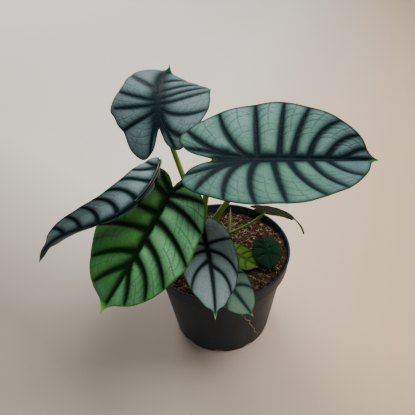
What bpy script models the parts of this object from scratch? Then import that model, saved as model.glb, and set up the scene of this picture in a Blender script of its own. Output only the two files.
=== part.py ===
"""A young potted alocasia: a nursery pot, its potting mix and the plant's crowns, petioles, sheaths
and shield-shaped blades, each its own solid. Metres, +Z up. The origin is the middle of the pot's
underside, on the surface that the pot stands on, and -Y is the side that the plant leans to."""

import math

import bmesh
import bpy
import numpy as np

MM = 0.001

# The pot: a thin moulded nursery pot with a collar under the rim and drain notches round its foot.
POT_RIM_RADIUS = 60 * MM
POT_FOOT_RADIUS = 45 * MM
POT_HEIGHT = 90 * MM
POT_WALL = 1.2 * MM
COLLAR_HEIGHT = 13 * MM
COLLAR_STEP = 1.6 * MM
COLLAR_DRAFT = 0.6 * MM
COLLAR_EASE = 0.4 * MM
RIM_LIP = 1.4 * MM
RIM_LIP_HEIGHT = 2.2 * MM
RIM_EDGE = 0.5 * MM
FOOT_RING_WIDTH = 4 * MM
FLOOR_RISE = 3.5 * MM
FLOOR_THICKNESS = 1.5 * MM
FLOOR_CORNER = 2 * MM
FOOT_SLOPE = 1 * MM
CENTRE_PAD_RADIUS = 13 * MM
DRAIN_HOLES = 8
DRAIN_HOLE_RADIUS = 3.2 * MM
DRAIN_RING_RADIUS = 30 * MM
DRAIN_HOLE_SIDES = 12
FOOT_NOTCHES = 10
FOOT_NOTCH_WIDTH = 9 * MM
FOOT_NOTCH_HEIGHT = 3 * MM
FOOT_NOTCH_TAPER = 2 * MM
FOOT_NOTCH_TURN = 0.3  # share of the notches' spacing that the first one is turned by
CUT_PAST = 1 * MM  # how far a cutter reaches past what it cuts
POT_SIDES = 60

# The potting mix, which fills the pot to just under its rim and lies higher at the front.
CLEARANCE = 0.3 * MM
SOIL_BELOW_RIM = 8 * MM
SOIL_FRONT_RISE = 3 * MM
SOIL_MOUND = 2 * MM
SOIL_LUMP = 0.7 * MM
SOIL_RINGS = 6
LONG_LUMPS = (310, 270)
SHORT_LUMPS = (520, 430)

# The crowns, which the petioles grow from. Each is sunk in the mix.
CROWN_PLACE = (-14 * MM, 12 * MM)
CROWN_RADIUS = 9 * MM
CROWN_RISE = 4 * MM
CROWN_DEPTH = 14 * MM
SIDE_CROWN_OFFSET = (21 * MM, 5 * MM)
SIDE_CROWN_RADIUS = 4.5 * MM
SEEDLING_CROWN_FROM_RIM = -36 * MM
SEEDLING_CROWN_BEARING = -8
SEEDLING_CROWN_RADIUS = 4 * MM
SMALL_CROWN_RISE = 2 * MM
SMALL_CROWN_DEPTH = 7 * MM
CROWN_STEPS = 8
CROWN_SIDES = 20

# The blades. Skin thicknesses are measured from the blade's middle surface.
BLADE_UPPER = 0.35 * MM
BLADE_LOWER = 0.35 * MM
MIDRIB_LOWER = 0.9 * MM

# Lengths of a blade in mm. place is its petiole's joint: from the crown, or out past the rim at a
# bearing, then up from the mix. Angles in degrees: heading is the bearing of the midrib, pitch and
# roll tilt it, droop, late_droop, back, swing and late_swing bend it along its length, fold and curl
# bend each half across, twist turns it towards the tip, flatten opens its fold towards the tip.
# Shares of the length: width of a half, lobes behind the joint, sinus between them, splay of the
# lobes, and the length of the drawn-out tip; shoulder and hip widen its ends.
BLADE_USUAL = dict(sinus=0.2, splay=0.03, droop=0, late_droop=0, back=0, swing=0, late_swing=0,
                   fold=(5, 5), curl=(-12, -12), twist=0, flatten=0, tip=0.1, shoulder=1, hip=1,
                   rows=18, steps=5)
BLADES = {
    "back_blade": dict(crown=(-28.4, 13.6, 131), length=70, width=0.56, lobes=0.57, sinus=0.28,
                       splay=0.16, heading=90, pitch=26, roll=-6, droop=-58, back=-40, swing=-8,
                       late_swing=-5, fold=(-4, 4), curl=(-30, -4), twist=38, flatten=-6,
                       shoulder=0.9, hip=1.06),
    "right_blade": dict(crown=(36.4, -44.4, 117), length=92, width=0.43, lobes=0.525, sinus=0.28,
                        splay=0.125, heading=5, pitch=-6, roll=25, droop=-6, back=-11, swing=5,
                        late_swing=2, fold=(16, 15), curl=(-9, -6), twist=9, flatten=20),
    "left_blade": dict(crown=(-28.1, -34.4, 106.3), length=138, width=0.153, lobes=0.1, sinus=0.05,
                       splay=0.02, heading=253, pitch=-17.6, roll=7, droop=-185, late_droop=128,
                       swing=-241, late_swing=224, fold=(-95, -34), curl=(-72, 80), twist=32,
                       flatten=29, tip=0.14, shoulder=0.76, hip=0.89, rows=22),
    "front_left_blade": dict(crown=(-27.8, -36.7, 75.5), length=88.5, width=0.535, lobes=0.28,
                             sinus=0.176, splay=0.06, heading=230, pitch=-39, roll=3, droop=10,
                             swing=-4, late_swing=6, fold=(17, 12), curl=(-11, -16), twist=-13,
                             flatten=-9),
    "front_blade": dict(rim=(-13.8, -104.4, 51), length=52.5, width=0.4, lobes=0.42, heading=-79,
                        splay=0.02, pitch=-26, roll=-3, droop=-18, swing=-10, fold=(2, 5),
                        curl=(-8, -12), twist=2, tip=0.13),
    "low_front_blade": dict(rim=(-6.5, -90.5, 26), length=35.8, width=0.465, lobes=0.5, heading=-47,
                            pitch=-24, roll=4, droop=-12, swing=-1, fold=(6, 2), curl=(-12, -14),
                            twist=2, rows=14, steps=4),
    "rear_blade": dict(crown=(51.9, -9.2, 45), length=41.6, width=0.233, lobes=0.3, heading=-34,
                       pitch=17, roll=-55, droop=-4, late_droop=-84, swing=-12, fold=(0, -3),
                       curl=(-20, 1), tip=0.34, rows=14, steps=4),
    "dark_seedling_blade": dict(rim=(-19.6, -19, 14.5), length=18.5, width=0.66, lobes=0.78,
                                sinus=0.4, splay=0.1, heading=-88, pitch=-12, roll=4, droop=-12,
                                back=-10, fold=(0, 0), curl=(-15, -15), rows=12, steps=3),
    "lime_seedling_blade": dict(rim=(-44, -43, 10), length=30.4, width=0.38, lobes=0.35,
                                sinus=0.15, splay=0.02, heading=-38, pitch=-4, roll=4, droop=-8,
                                fold=(0, 0), curl=(-10, -10), tip=0.24, rows=12, steps=3),
}

BLADE_MATERIALS = {name: "silver_leaf" for name in BLADES}
BLADE_MATERIALS["front_left_blade"] = "green_leaf"
BLADE_MATERIALS["dark_seedling_blade"] = "green_leaf"
BLADE_MATERIALS["lime_seedling_blade"] = "lime_leaf"

# How finely a blade is worked out. Points per stretch of the outline, where the inner ends of its
# rows turn off the midrib, the steps that its bends are summed over, and the length of the nudge
# that its normals are measured with. A tip longer than LONG_TIP leaves one outline point out.
OUTLINE_STEPS = 8
SPINE_BEND = 0.12
SINUS_EASE = 0.4
BEND_STEPS = 24
LEAN_STEPS = 8
NUDGE = 0.05 * MM
LONG_TIP = 0.2
LONG_TIP_SKIPS = 3

# The petioles, in mm: radii at the foot and at the blade, where the foot stands on its crown
# (share of the crown's radius, bearing in degrees), the pull of the curve at each end, drop, an
# extra distance under the blade, and behind, which ends the stem at the back of a folded blade.
PETIOLES = {
    "back_petiole": dict(blade="back_blade", crown="crown", radii=(2.6, 1.9), foot=(0.6, 120),
                         rise=(-3, 0, 40), arrive=(8, -4, -45)),
    "right_petiole": dict(blade="right_blade", crown="crown", radii=(2.6, 1.9), foot=(0.6, 20),
                          rise=(6, -8, 40), arrive=(-14, 4, -40)),
    "left_petiole": dict(blade="left_blade", crown="crown", radii=(1.9, 0.9), foot=(0.6, 180),
                         rise=(-29, 6, 52), arrive=(-7, 29, -35), behind=16),
    "front_left_petiole": dict(blade="front_left_blade", crown="crown", radii=(2.1, 1.4),
                               foot=(0.6, 235), rise=(-6, -8, 30), arrive=(10, 12, -25)),
    "front_petiole": dict(blade="front_blade", crown="crown", radii=(1.6, 1.1), foot=(0.6, 290),
                          rise=(0, -10, 20), arrive=(2, 14, -16)),
    "low_front_petiole": dict(blade="low_front_blade", crown="crown", radii=(1.4, 1.0),
                              foot=(0.6, 335), rise=(4, -6, 14), arrive=(-4, 14, -8)),
    "rear_petiole": dict(blade="rear_blade", crown="side_crown", radii=(1.4, 1.0), foot=(0.4, 200),
                         rise=(6, -10, 14), arrive=(-6, -4, -9)),
    "dark_seedling_petiole": dict(blade="dark_seedling_blade", crown="seedling_crown",
                                  radii=(0.9, 0.7), foot=(0.5, 10), rise=(2, -1, 3),
                                  arrive=(-4, 2, -3)),
    "lime_seedling_petiole": dict(blade="lime_seedling_blade", crown="seedling_crown",
                                  radii=(0.9, 0.7), foot=(0.5, 190), rise=(-3, 0, 0.6),
                                  arrive=(3, 0, -1), drop=0.3),
}
PETIOLE_SIDES = 8
PETIOLE_RINGS = 12
FOOT_GAP = 0.7  # share of a stem's radius that its flat foot stands off its sloping crown
JOINT_GAP = 0.8  # share of a stem's radius that its flat top stands off its blade's keel
SPIKE_POINT = 0.15 * MM
SPIKE_TAPER = 0.75
SIDEWAYS = (0.3, 1, 0.2)  # any direction that no stem starts along
WELD = 0.002 * MM
SHARP_ANGLE = math.radians(40)

# Pointed sheaths and the rolled new leaf: foot on its crown, tip from its foot, belly radius in mm.
SPIKES = {
    "rolled_new_leaf": dict(crown="crown", foot=(0, 0), tip=(14, -18, 106), bow=(-4, 4, 0),
                            radius=2.6, belly=0.62, foot_radius=1.9),
    "tall_sheath": dict(crown="side_crown", foot=(0.45, 30), tip=(2, 6, 26), bow=(0, 0, 0),
                        radius=1.7, belly=0.2, foot_radius=1.5),
    "short_sheath": dict(crown="side_crown", foot=(0.6, 120), tip=(-3, 4, 11), bow=(0, 0, 0),
                         radius=1.1, belly=0.2, foot_radius=1.0),
}

MATERIALS = {
    "pot_plastic": ((0.022, 0.021, 0.024, 1), 0.55),
    "potting_mix": ((0.075, 0.045, 0.028, 1), 0.95),
    "corm": ((0.16, 0.12, 0.05, 1), 0.8),
    "silver_leaf": ((0.16, 0.26, 0.25, 1), 0.5),
    "green_leaf": ((0.06, 0.19, 0.05, 1), 0.45),
    "lime_leaf": ((0.25, 0.4, 0.05, 1), 0.45),
    "stem": ((0.17, 0.29, 0.04, 1), 0.45),
    "sheath": ((0.42, 0.5, 0.25, 1), 0.5),
}


def soil_level():
    return POT_HEIGHT - SOIL_BELOW_RIM


def bearing(degrees):
    angle = math.radians(degrees)
    return np.array((math.cos(angle), math.sin(angle)))


def soil_height(x, y):
    """Height of the mix's surface: a low mound, higher at the front, with soft lumps."""
    reach = np.hypot(x, y) / POT_RIM_RADIUS
    long_lumps = np.sin(x * LONG_LUMPS[0] + 1) * np.sin(y * LONG_LUMPS[1] + 2)
    short_lumps = np.sin(x * SHORT_LUMPS[0] - y * SHORT_LUMPS[1])
    front = np.clip(-y / POT_RIM_RADIUS, 0, 1)
    mound = SOIL_MOUND * (1 - reach**2) + SOIL_FRONT_RISE * front**2
    return soil_level() + mound + SOIL_LUMP * (long_lumps + 0.6 * short_lumps)


def material(name):
    made = bpy.data.materials.get(name)
    if made is None:
        colour, roughness = MATERIALS[name]
        made = bpy.data.materials.new(name)
        made.use_nodes = True
        shader = made.node_tree.nodes["Principled BSDF"]
        shader.inputs["Base Color"].default_value = colour
        shader.inputs["Roughness"].default_value = roughness
        shader.inputs["Metallic"].default_value = 0
    return made


def mesh_object(name, points, faces, material_name, smooth=True):
    """A closed mesh: coincident points become one, and faces point out."""
    mesh = bpy.data.meshes.new(name)
    mesh.from_pydata([tuple(point) for point in points], [], faces)
    shape = bmesh.new()
    shape.from_mesh(mesh)
    bmesh.ops.remove_doubles(shape, verts=shape.verts, dist=WELD)
    bmesh.ops.recalc_face_normals(shape, faces=shape.faces)
    bmesh.ops.triangulate(shape, faces=shape.faces)
    shape.to_mesh(mesh)
    shape.free()
    mesh.materials.append(material(material_name))
    if smooth:
        mesh.shade_smooth()
        mesh.set_sharp_from_angle(angle=SHARP_ANGLE)
    made = bpy.data.objects.new(name, mesh)
    bpy.context.scene.collection.objects.link(made)
    return made


def turned(profile, sides):
    """Points and faces of a closed (radius, height) profile turned round Z. A radius of 0 is a pole."""
    points = []
    for step in range(sides):
        out = bearing(360 * step / sides)
        points += [(out[0] * radius, out[1] * radius, height) for radius, height in profile]
    count = len(profile)
    faces = []
    for step in range(sides):
        here = step * count
        there = (step + 1) % sides * count
        for ring in range(count):
            following = (ring + 1) % count
            if profile[ring][0] == 0 and profile[following][0] == 0:
                continue
            faces.append((here + ring, there + ring, there + following, here + following))
    return points, faces


def cut(target, cutter):
    """Takes the cutter's shape out of the target and leaves the cutter out of the model."""
    cutter.hide_render = True
    cutter.display_type = "WIRE"
    modifier = target.modifiers.new(cutter.name, "BOOLEAN")
    modifier.operation = "DIFFERENCE"
    modifier.object = cutter


def outer_wall(height):
    """Outer radius of the pot's wall under its collar."""
    share = height / POT_HEIGHT
    return POT_FOOT_RADIUS + (POT_RIM_RADIUS - RIM_LIP - COLLAR_STEP - POT_FOOT_RADIUS) * share


def inner_wall(height):
    return outer_wall(height) - POT_WALL


def collar_inside():
    return POT_RIM_RADIUS - RIM_LIP - COLLAR_DRAFT - POT_WALL


def pot():
    floor_top = FLOOR_RISE + FLOOR_THICKNESS
    collar_base = POT_HEIGHT - COLLAR_HEIGHT
    collar_radius = POT_RIM_RADIUS - RIM_LIP
    lip_base = POT_HEIGHT - RIM_LIP_HEIGHT
    profile = [
        (0, 0),
        (CENTRE_PAD_RADIUS, 0),
        (CENTRE_PAD_RADIUS + FOOT_SLOPE, FLOOR_RISE),
        (POT_FOOT_RADIUS - FOOT_RING_WIDTH - FOOT_SLOPE, FLOOR_RISE),
        (POT_FOOT_RADIUS - FOOT_RING_WIDTH, 0),
        (POT_FOOT_RADIUS, 0),
        (outer_wall(collar_base - COLLAR_STEP), collar_base - COLLAR_STEP),
        (collar_radius - COLLAR_DRAFT, collar_base),
        (collar_radius, lip_base),
        (POT_RIM_RADIUS, lip_base + RIM_EDGE),
        (POT_RIM_RADIUS, POT_HEIGHT - RIM_EDGE),
        (POT_RIM_RADIUS - RIM_EDGE, POT_HEIGHT),
        (collar_radius - POT_WALL, POT_HEIGHT),
        (collar_inside(), collar_base + COLLAR_EASE),
        (inner_wall(collar_base - COLLAR_STEP), collar_base - COLLAR_STEP),
        (inner_wall(floor_top + FLOOR_CORNER), floor_top + FLOOR_CORNER),
        (inner_wall(floor_top) - FLOOR_CORNER, floor_top),
        (0, floor_top),
    ]
    made = mesh_object("pot", *turned(profile, POT_SIDES), "pot_plastic")
    hole = [
        (0, -CUT_PAST),
        (DRAIN_HOLE_RADIUS, -CUT_PAST),
        (DRAIN_HOLE_RADIUS, 2 * floor_top),
        (0, 2 * floor_top),
    ]
    for number in range(DRAIN_HOLES):
        centre = bearing(360 * (number + 0.5) / DRAIN_HOLES) * DRAIN_RING_RADIUS
        points, faces = turned(hole, DRAIN_HOLE_SIDES)
        points = np.array(points) + (centre[0], centre[1], 0)
        cut(made, mesh_object(f"drain_cutter_{number}", points, faces, "pot_plastic", smooth=False))
    for number in range(FOOT_NOTCHES):
        cut(made, foot_notch(number))
    return made


def foot_notch(number):
    """A flat-topped slot through the foot ring and the bottom of the wall."""
    out = bearing(360 * (number + FOOT_NOTCH_TURN) / FOOT_NOTCHES)
    side = np.array((-out[1], out[0]))
    low = (-CUT_PAST, FOOT_NOTCH_WIDTH + FOOT_NOTCH_TAPER)
    high = (FOOT_NOTCH_HEIGHT, FOOT_NOTCH_WIDTH - FOOT_NOTCH_TAPER)
    corners = []
    for height, width in (low, high):
        for reach in (POT_FOOT_RADIUS - 1.8 * FOOT_RING_WIDTH, POT_FOOT_RADIUS + 3 * CUT_PAST):
            for across in (-width / 2, width / 2):
                corners.append((*(out * reach + side * across), height))
    faces = [(0, 1, 3, 2), (4, 6, 7, 5), (0, 4, 5, 1), (2, 3, 7, 6), (0, 2, 6, 4), (1, 5, 7, 3)]
    return mesh_object(f"foot_cutter_{number}", corners, faces, "pot_plastic", smooth=False)


def soil(crowns):
    """The mix: it follows the pot's inside, clear of it by the clearance, under its own lumpy top."""
    floor_top = FLOOR_RISE + FLOOR_THICKNESS
    collar_base = POT_HEIGHT - COLLAR_HEIGHT
    edge = collar_inside() - CLEARANCE
    below = [
        (0, floor_top + CLEARANCE),
        (inner_wall(floor_top) - FLOOR_CORNER - CLEARANCE, floor_top + CLEARANCE),
        (inner_wall(floor_top + FLOOR_CORNER) - CLEARANCE, floor_top + FLOOR_CORNER + CLEARANCE),
        (inner_wall(collar_base - COLLAR_STEP) - CLEARANCE, collar_base - COLLAR_STEP),
        (edge, collar_base + COLLAR_EASE + CLEARANCE),
    ]
    points, faces = [], []
    for step in range(POT_SIDES):
        out = bearing(360 * step / POT_SIDES)
        points += [(out[0] * radius, out[1] * radius, height) for radius, height in below]
        for ring in range(SOIL_RINGS, -1, -1):
            place = out * edge * ring / SOIL_RINGS
            points.append((*place, soil_height(*place)))
    count = len(below) + SOIL_RINGS + 1
    for step in range(POT_SIDES):
        here, there = step * count, (step + 1) % POT_SIDES * count
        faces += [(here + i, there + i, there + i + 1, here + i + 1) for i in range(count - 1)]
    made = mesh_object("potting_mix", points, faces, "potting_mix")
    for name, crown in crowns.items():
        pocket = crown_shape(crown, CLEARANCE)
        cut(made, mesh_object(f"{name}_pocket", *pocket, "potting_mix", smooth=False))
    return made


def crown_table():
    """Each crown's place, radius, rise over the mix and depth in it."""
    centre = np.array(CROWN_PLACE)
    seedling = (POT_RIM_RADIUS + SEEDLING_CROWN_FROM_RIM) * bearing(SEEDLING_CROWN_BEARING)
    return {
        "crown": (centre, CROWN_RADIUS, CROWN_RISE, CROWN_DEPTH),
        "side_crown": (centre + SIDE_CROWN_OFFSET, SIDE_CROWN_RADIUS, SMALL_CROWN_RISE, SMALL_CROWN_DEPTH),
        "seedling_crown": (seedling, SEEDLING_CROWN_RADIUS, SMALL_CROWN_RISE, SMALL_CROWN_DEPTH),
    }


def crown_shape(crown, extra=0):
    """A squat corm, wider at its shoulder. extra widens it all round for its pocket in the mix."""
    place, radius, rise, depth = crown
    level = soil_height(*place)
    profile = []
    for step in range(CROWN_STEPS + 1):
        angle = math.pi * step / CROWN_STEPS
        height = -math.cos(angle)
        tall = rise + extra if height > 0 else depth + extra
        profile.append((round(math.sin(angle), 6) * (radius + extra), level + height * tall))
    points, faces = turned(profile, CROWN_SIDES)
    return np.array(points) + (*place, 0), faces


def on_crown(crown, foot, foot_radius):
    """A point over the top of a crown, high enough for a flat-ended stem to clear it."""
    place, radius, rise, _ = crown
    share, degrees = foot
    spot = place + bearing(degrees) * radius * share
    height = soil_height(*place) + rise * math.sqrt(1 - share**2)
    return np.array((*spot, height + 2 * CLEARANCE + FOOT_GAP * foot_radius))


def blade_spec(name):
    return {**BLADE_USUAL, **BLADES[name]}


def blade_joint(leaf):
    """Where a blade meets its petiole, on the blade's middle surface."""
    if "rim" in leaf:
        past, degrees, up = leaf["rim"]
        spot = bearing(degrees) * (POT_RIM_RADIUS + past * MM)
    else:
        x, y, up = leaf["crown"]
        spot = np.array(CROWN_PLACE) + (x * MM, y * MM)
    return np.array((*spot, soil_level() + up * MM))


def half_outline(leaf):
    """Points of a half blade's edge from its tip to its sinus, in shares of the blade's length."""
    width, lobes, splay, tip = leaf["width"], leaf["lobes"], leaf["splay"], leaf["tip"]
    shoulder, hip = leaf["shoulder"], leaf["hip"]
    guide = np.array([
        (1, 0),
        (1 - 0.45 * tip, 0.018),
        (1 - tip, 0.115 * width * shoulder + 0.01),
        (0.8, 0.46 * width * shoulder),
        (0.58, 0.78 * width * (shoulder + 1) / 2),
        (0.32, 0.97 * width),
        (0.08, width),
        (-0.3 * lobes, 0.93 * width * hip),
        (-0.66 * lobes, (0.74 * width + 0.1 * splay) * hip),
        (-0.92 * lobes, 0.5 * width + 0.3 * splay),
        (-lobes, 0.3 * width + 0.4 * splay),
        (-0.93 * lobes, 0.14 * width + 0.35 * splay),
        (-0.8 * lobes, 0.06 * width + 0.2 * splay),
        (-leaf["sinus"], 0),
    ])
    if tip > LONG_TIP:
        guide = np.delete(guide, LONG_TIP_SKIPS, axis=0)
    ends = np.vstack([2 * guide[0] - guide[1], guide, 2 * guide[-1] - guide[-2]])
    share = np.linspace(0, 1, OUTLINE_STEPS, endpoint=False)[:, None]
    pieces = []
    for before, start, end, after in zip(ends, ends[1:], ends[2:], ends[3:]):
        pieces.append(0.5 * (2 * start + (end - before) * share
                             + (2 * before - 5 * start + 4 * end - after) * share**2
                             + (3 * start - before - 3 * end + after) * share**3))
    return np.vstack([*pieces, guide[-1:]])


def half_grid(leaf):
    """Flat points of a half blade, in shares of its length: rows run from the midrib to the edge."""
    edge = half_outline(leaf)
    along = np.r_[0, np.cumsum(np.linalg.norm(np.diff(edge, axis=0), axis=1))]
    along /= along[-1]
    row = np.linspace(0, 1, leaf["rows"] + 1)
    edge_x, edge_y = np.interp(row, along, edge[:, 0]), np.interp(row, along, edge[:, 1])
    widest = along[np.argmax(edge[:, 1])]
    spine = np.interp(row, [0, widest, (1 + widest) / 2, 1],
                      [1, SPINE_BEND, -SINUS_EASE * leaf["sinus"], -leaf["sinus"]])
    across = np.linspace(0, 1, leaf["steps"] + 1)[:, None]
    return spine + (edge_x - spine) * across, edge_y * across


def blade_surface(leaf, x, y):
    """Bends flat points, in metres from the petiole's joint, into the grown blade's middle surface."""
    length = leaf["length"] * MM
    rad = math.radians
    flat = x.ravel(), y.ravel()
    walk = np.linspace(0, 1, BEND_STEPS)[:, None] * flat[0]
    share = walk / length
    ahead = rad(leaf["droop"]) * share + rad(leaf["late_droop"]) * share**2
    pitch = rad(leaf["pitch"]) + np.where(share > 0, ahead, rad(leaf["back"]) * share)
    swing = rad(leaf["swing"]) * share + rad(leaf["late_swing"]) * share * abs(share)
    east, north = bearing(leaf["heading"])
    forward = np.stack([np.cos(pitch) * east, np.cos(pitch) * north, np.sin(pitch)], -1)
    left = np.broadcast_to(np.array((-north, east, 0.0)), forward.shape)
    up = np.cross(forward, left)[-1]
    ahead = np.cos(swing)[..., None] * forward + np.sin(swing)[..., None] * left
    aside = (np.cos(swing)[..., None] * left - np.sin(swing)[..., None] * forward)[-1]
    midrib = (ahead[:-1] + ahead[1:]).sum(0) * (flat[0] / (2 * (BEND_STEPS - 1)))[:, None]

    side, out = np.sign(flat[1]), abs(flat[1])
    fold = np.where(side > 0, rad(leaf["fold"][0]), rad(leaf["fold"][1]))
    fold = fold + rad(leaf["flatten"]) * flat[0] / length
    curl = np.where(side > 0, rad(leaf["curl"][0]), rad(leaf["curl"][1]))
    lean = fold + curl * np.linspace(0, 1, LEAN_STEPS)[:, None] * out / (length * leaf["width"])
    step = out / (2 * (LEAN_STEPS - 1))
    level = (np.cos(lean)[:-1] + np.cos(lean)[1:]).sum(0) * step * side
    lift = (np.sin(lean)[:-1] + np.sin(lean)[1:]).sum(0) * step
    turn = rad(leaf["roll"]) + rad(leaf["twist"]) * flat[0] / length
    turned_aside = np.cos(turn)[:, None] * aside + np.sin(turn)[:, None] * up
    turned_up = np.cos(turn)[:, None] * up - np.sin(turn)[:, None] * aside
    bent = blade_joint(leaf) + midrib + level[:, None] * turned_aside + lift[:, None] * turned_up
    return bent.reshape(*x.shape, 3)


def blade_normals(leaf, x, y):
    """Unit normals of the blade's upper side. On the midrib they are the mean of its two halves."""
    aside = np.where(y == 0, NUDGE, 0)
    total = 0
    for sign in (1, -1):
        beside = y + sign * aside
        along = blade_surface(leaf, x + NUDGE, beside) - blade_surface(leaf, x - NUDGE, beside)
        further = blade_surface(leaf, x, beside + sign * NUDGE)
        across = (further - blade_surface(leaf, x, beside)) * sign
        normal = np.cross(along, across)
        total = total + normal / np.linalg.norm(normal, axis=-1, keepdims=True)
    return total / np.linalg.norm(total, axis=-1, keepdims=True)


def blade(name, material_name):
    """Two skins a thickness apart, closed round the edge, with a keel under the midrib."""
    leaf = blade_spec(name)
    half_x, half_y = (grid * leaf["length"] * MM for grid in half_grid(leaf))
    x = np.vstack([half_x[::-1], half_x[1:]])
    y = np.vstack([half_y[::-1], -half_y[1:]])
    middle = blade_surface(leaf, x, y)
    normal = blade_normals(leaf, x, y)
    lower = np.full(x.shape, BLADE_LOWER)
    lower[leaf["steps"], 1:-1] = MIDRIB_LOWER
    top = middle + normal * BLADE_UPPER
    under = middle - normal * lower[..., None]
    lines, columns = x.shape
    below = lines * columns
    faces = []
    for line in range(lines - 1):
        for column in range(columns - 1):
            a = line * columns + column
            b, c, d = a + 1, a + columns + 1, a + columns
            faces += [(a, b, c, d), (below + a, below + d, below + c, below + b)]
    for line in (0, lines - 1):
        for column in range(columns - 1):
            a = line * columns + column
            faces.append((a, a + 1, below + a + 1, below + a))
    points = np.vstack([top.reshape(-1, 3), under.reshape(-1, 3)])
    return mesh_object(name, points, faces, material_name)


def tube(name, path, radii, material_name):
    """A round stem along a path, with a radius for each of its points and flat ends."""
    steps = np.gradient(path, axis=0)
    steps /= np.linalg.norm(steps, axis=1, keepdims=True)
    across = np.cross(steps[0], SIDEWAYS)
    points = []
    for centre, ahead, radius in zip(path, steps, radii):
        across = across - ahead * (across @ ahead)
        across /= np.linalg.norm(across)
        other = np.cross(ahead, across)
        for side in range(PETIOLE_SIDES):
            turn = bearing(360 * side / PETIOLE_SIDES)
            points.append(centre + radius * (turn[0] * across + turn[1] * other))
    faces = [tuple(range(PETIOLE_SIDES))]
    faces.append(tuple(range(len(points) - PETIOLE_SIDES, len(points))))
    for ring in range(len(path) - 1):
        start = ring * PETIOLE_SIDES
        for side in range(PETIOLE_SIDES):
            there = (side + 1) % PETIOLE_SIDES
            faces.append((start + side, start + there, start + PETIOLE_SIDES + there,
                          start + PETIOLE_SIDES + side))
    return mesh_object(name, points, faces, material_name)


def curve(start, after, before, end, count):
    """A cubic curve through start and end, pulled towards the two points between them."""
    share = np.linspace(0, 1, count)[:, None]
    rest = 1 - share
    return rest**3 * start + 3 * rest**2 * share * after + 3 * rest * share**2 * before + share**3 * end


def petiole(name, spec, crowns):
    foot_radius, top_radius = (radius * MM for radius in spec["radii"])
    leaf = blade_spec(spec["blade"])
    start = on_crown(crowns[spec["crown"]], spec["foot"], foot_radius)
    joint = np.array([-spec.get("behind", 0) * MM]), np.zeros(1)
    stand_off = MIDRIB_LOWER + CLEARANCE + JOINT_GAP * top_radius + spec.get("drop", 0) * MM
    end = blade_surface(leaf, *joint)[0] - blade_normals(leaf, *joint)[0] * stand_off
    after = start + np.array(spec["rise"]) * MM
    before = end + np.array(spec["arrive"]) * MM
    path = curve(start, after, before, end, PETIOLE_RINGS)
    return tube(name, path, np.linspace(foot_radius, top_radius, PETIOLE_RINGS), "stem")


def spike(name, spec, crowns, material_name):
    """A pointed spindle: it widens from its foot to its belly and runs out to a point."""
    foot_radius = spec["foot_radius"] * MM
    start = on_crown(crowns[spec["crown"]], spec["foot"], foot_radius)
    end = start + np.array(spec["tip"]) * MM
    bow = np.array(spec["bow"]) * MM
    path = curve(start, start + (end - start) / 3 + bow, start + (end - start) * 2 / 3 + bow, end,
                 PETIOLE_RINGS)
    belly = spec["radius"] * MM
    radii = np.interp(np.linspace(0, 1, PETIOLE_RINGS), [0, spec["belly"], (1 + spec["belly"]) / 2, 1],
                      [foot_radius, belly, belly * SPIKE_TAPER, SPIKE_POINT])
    return tube(name, path, radii, material_name)


def clear_scene():
    for thing in list(bpy.data.objects):
        bpy.data.objects.remove(thing)


clear_scene()
CROWNS = crown_table()
pot()
soil(CROWNS)
for crown_name, crown_place in CROWNS.items():
    mesh_object(crown_name, *crown_shape(crown_place), "corm")
for blade_name, blade_material in BLADE_MATERIALS.items():
    blade(blade_name, blade_material)
for petiole_name, petiole_spec in PETIOLES.items():
    petiole(petiole_name, petiole_spec, CROWNS)
for spike_name, spike_spec in SPIKES.items():
    spike(spike_name, spike_spec, CROWNS, "stem" if spike_name == "rolled_new_leaf" else "sheath")
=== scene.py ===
import math

import bmesh
import bpy
import numpy as np
from mathutils import Matrix, Vector


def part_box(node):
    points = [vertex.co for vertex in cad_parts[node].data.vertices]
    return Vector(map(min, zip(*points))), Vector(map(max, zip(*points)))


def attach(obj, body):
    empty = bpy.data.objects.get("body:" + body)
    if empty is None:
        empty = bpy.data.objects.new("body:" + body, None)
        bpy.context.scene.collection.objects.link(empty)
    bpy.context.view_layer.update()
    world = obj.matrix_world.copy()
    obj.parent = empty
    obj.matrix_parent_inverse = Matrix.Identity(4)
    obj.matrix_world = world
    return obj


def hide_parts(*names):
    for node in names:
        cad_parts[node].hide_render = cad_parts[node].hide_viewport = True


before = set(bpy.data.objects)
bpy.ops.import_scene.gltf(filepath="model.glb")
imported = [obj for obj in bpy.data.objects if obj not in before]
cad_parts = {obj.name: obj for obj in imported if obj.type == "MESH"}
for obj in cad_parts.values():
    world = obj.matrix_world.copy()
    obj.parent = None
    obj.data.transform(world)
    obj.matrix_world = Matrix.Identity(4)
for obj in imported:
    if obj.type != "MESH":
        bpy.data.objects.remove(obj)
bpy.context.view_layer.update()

mm = 0.001
print("frame loaded", len(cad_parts), "nodes")

potLow, potHigh = (np.array(corner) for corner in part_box("pot"))
rimRadius = (potHigh[0] - potLow[0]) / 2
rimHeight = potHigh[2]
weldReach = 0.004 * mm
farOff = 9.0  # caps the distances to veins and edges


def bearing(degrees):
    angle = math.radians(degrees)
    return np.array((math.cos(angle), math.sin(angle)))


def pieceName(nodeName):
    first, *rest = nodeName.split("_")
    return first + "".join(word.title() for word in rest)


def linked(name, data):
    made = bpy.data.objects.new(name, data)
    bpy.context.scene.collection.objects.link(made)
    return made


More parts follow.
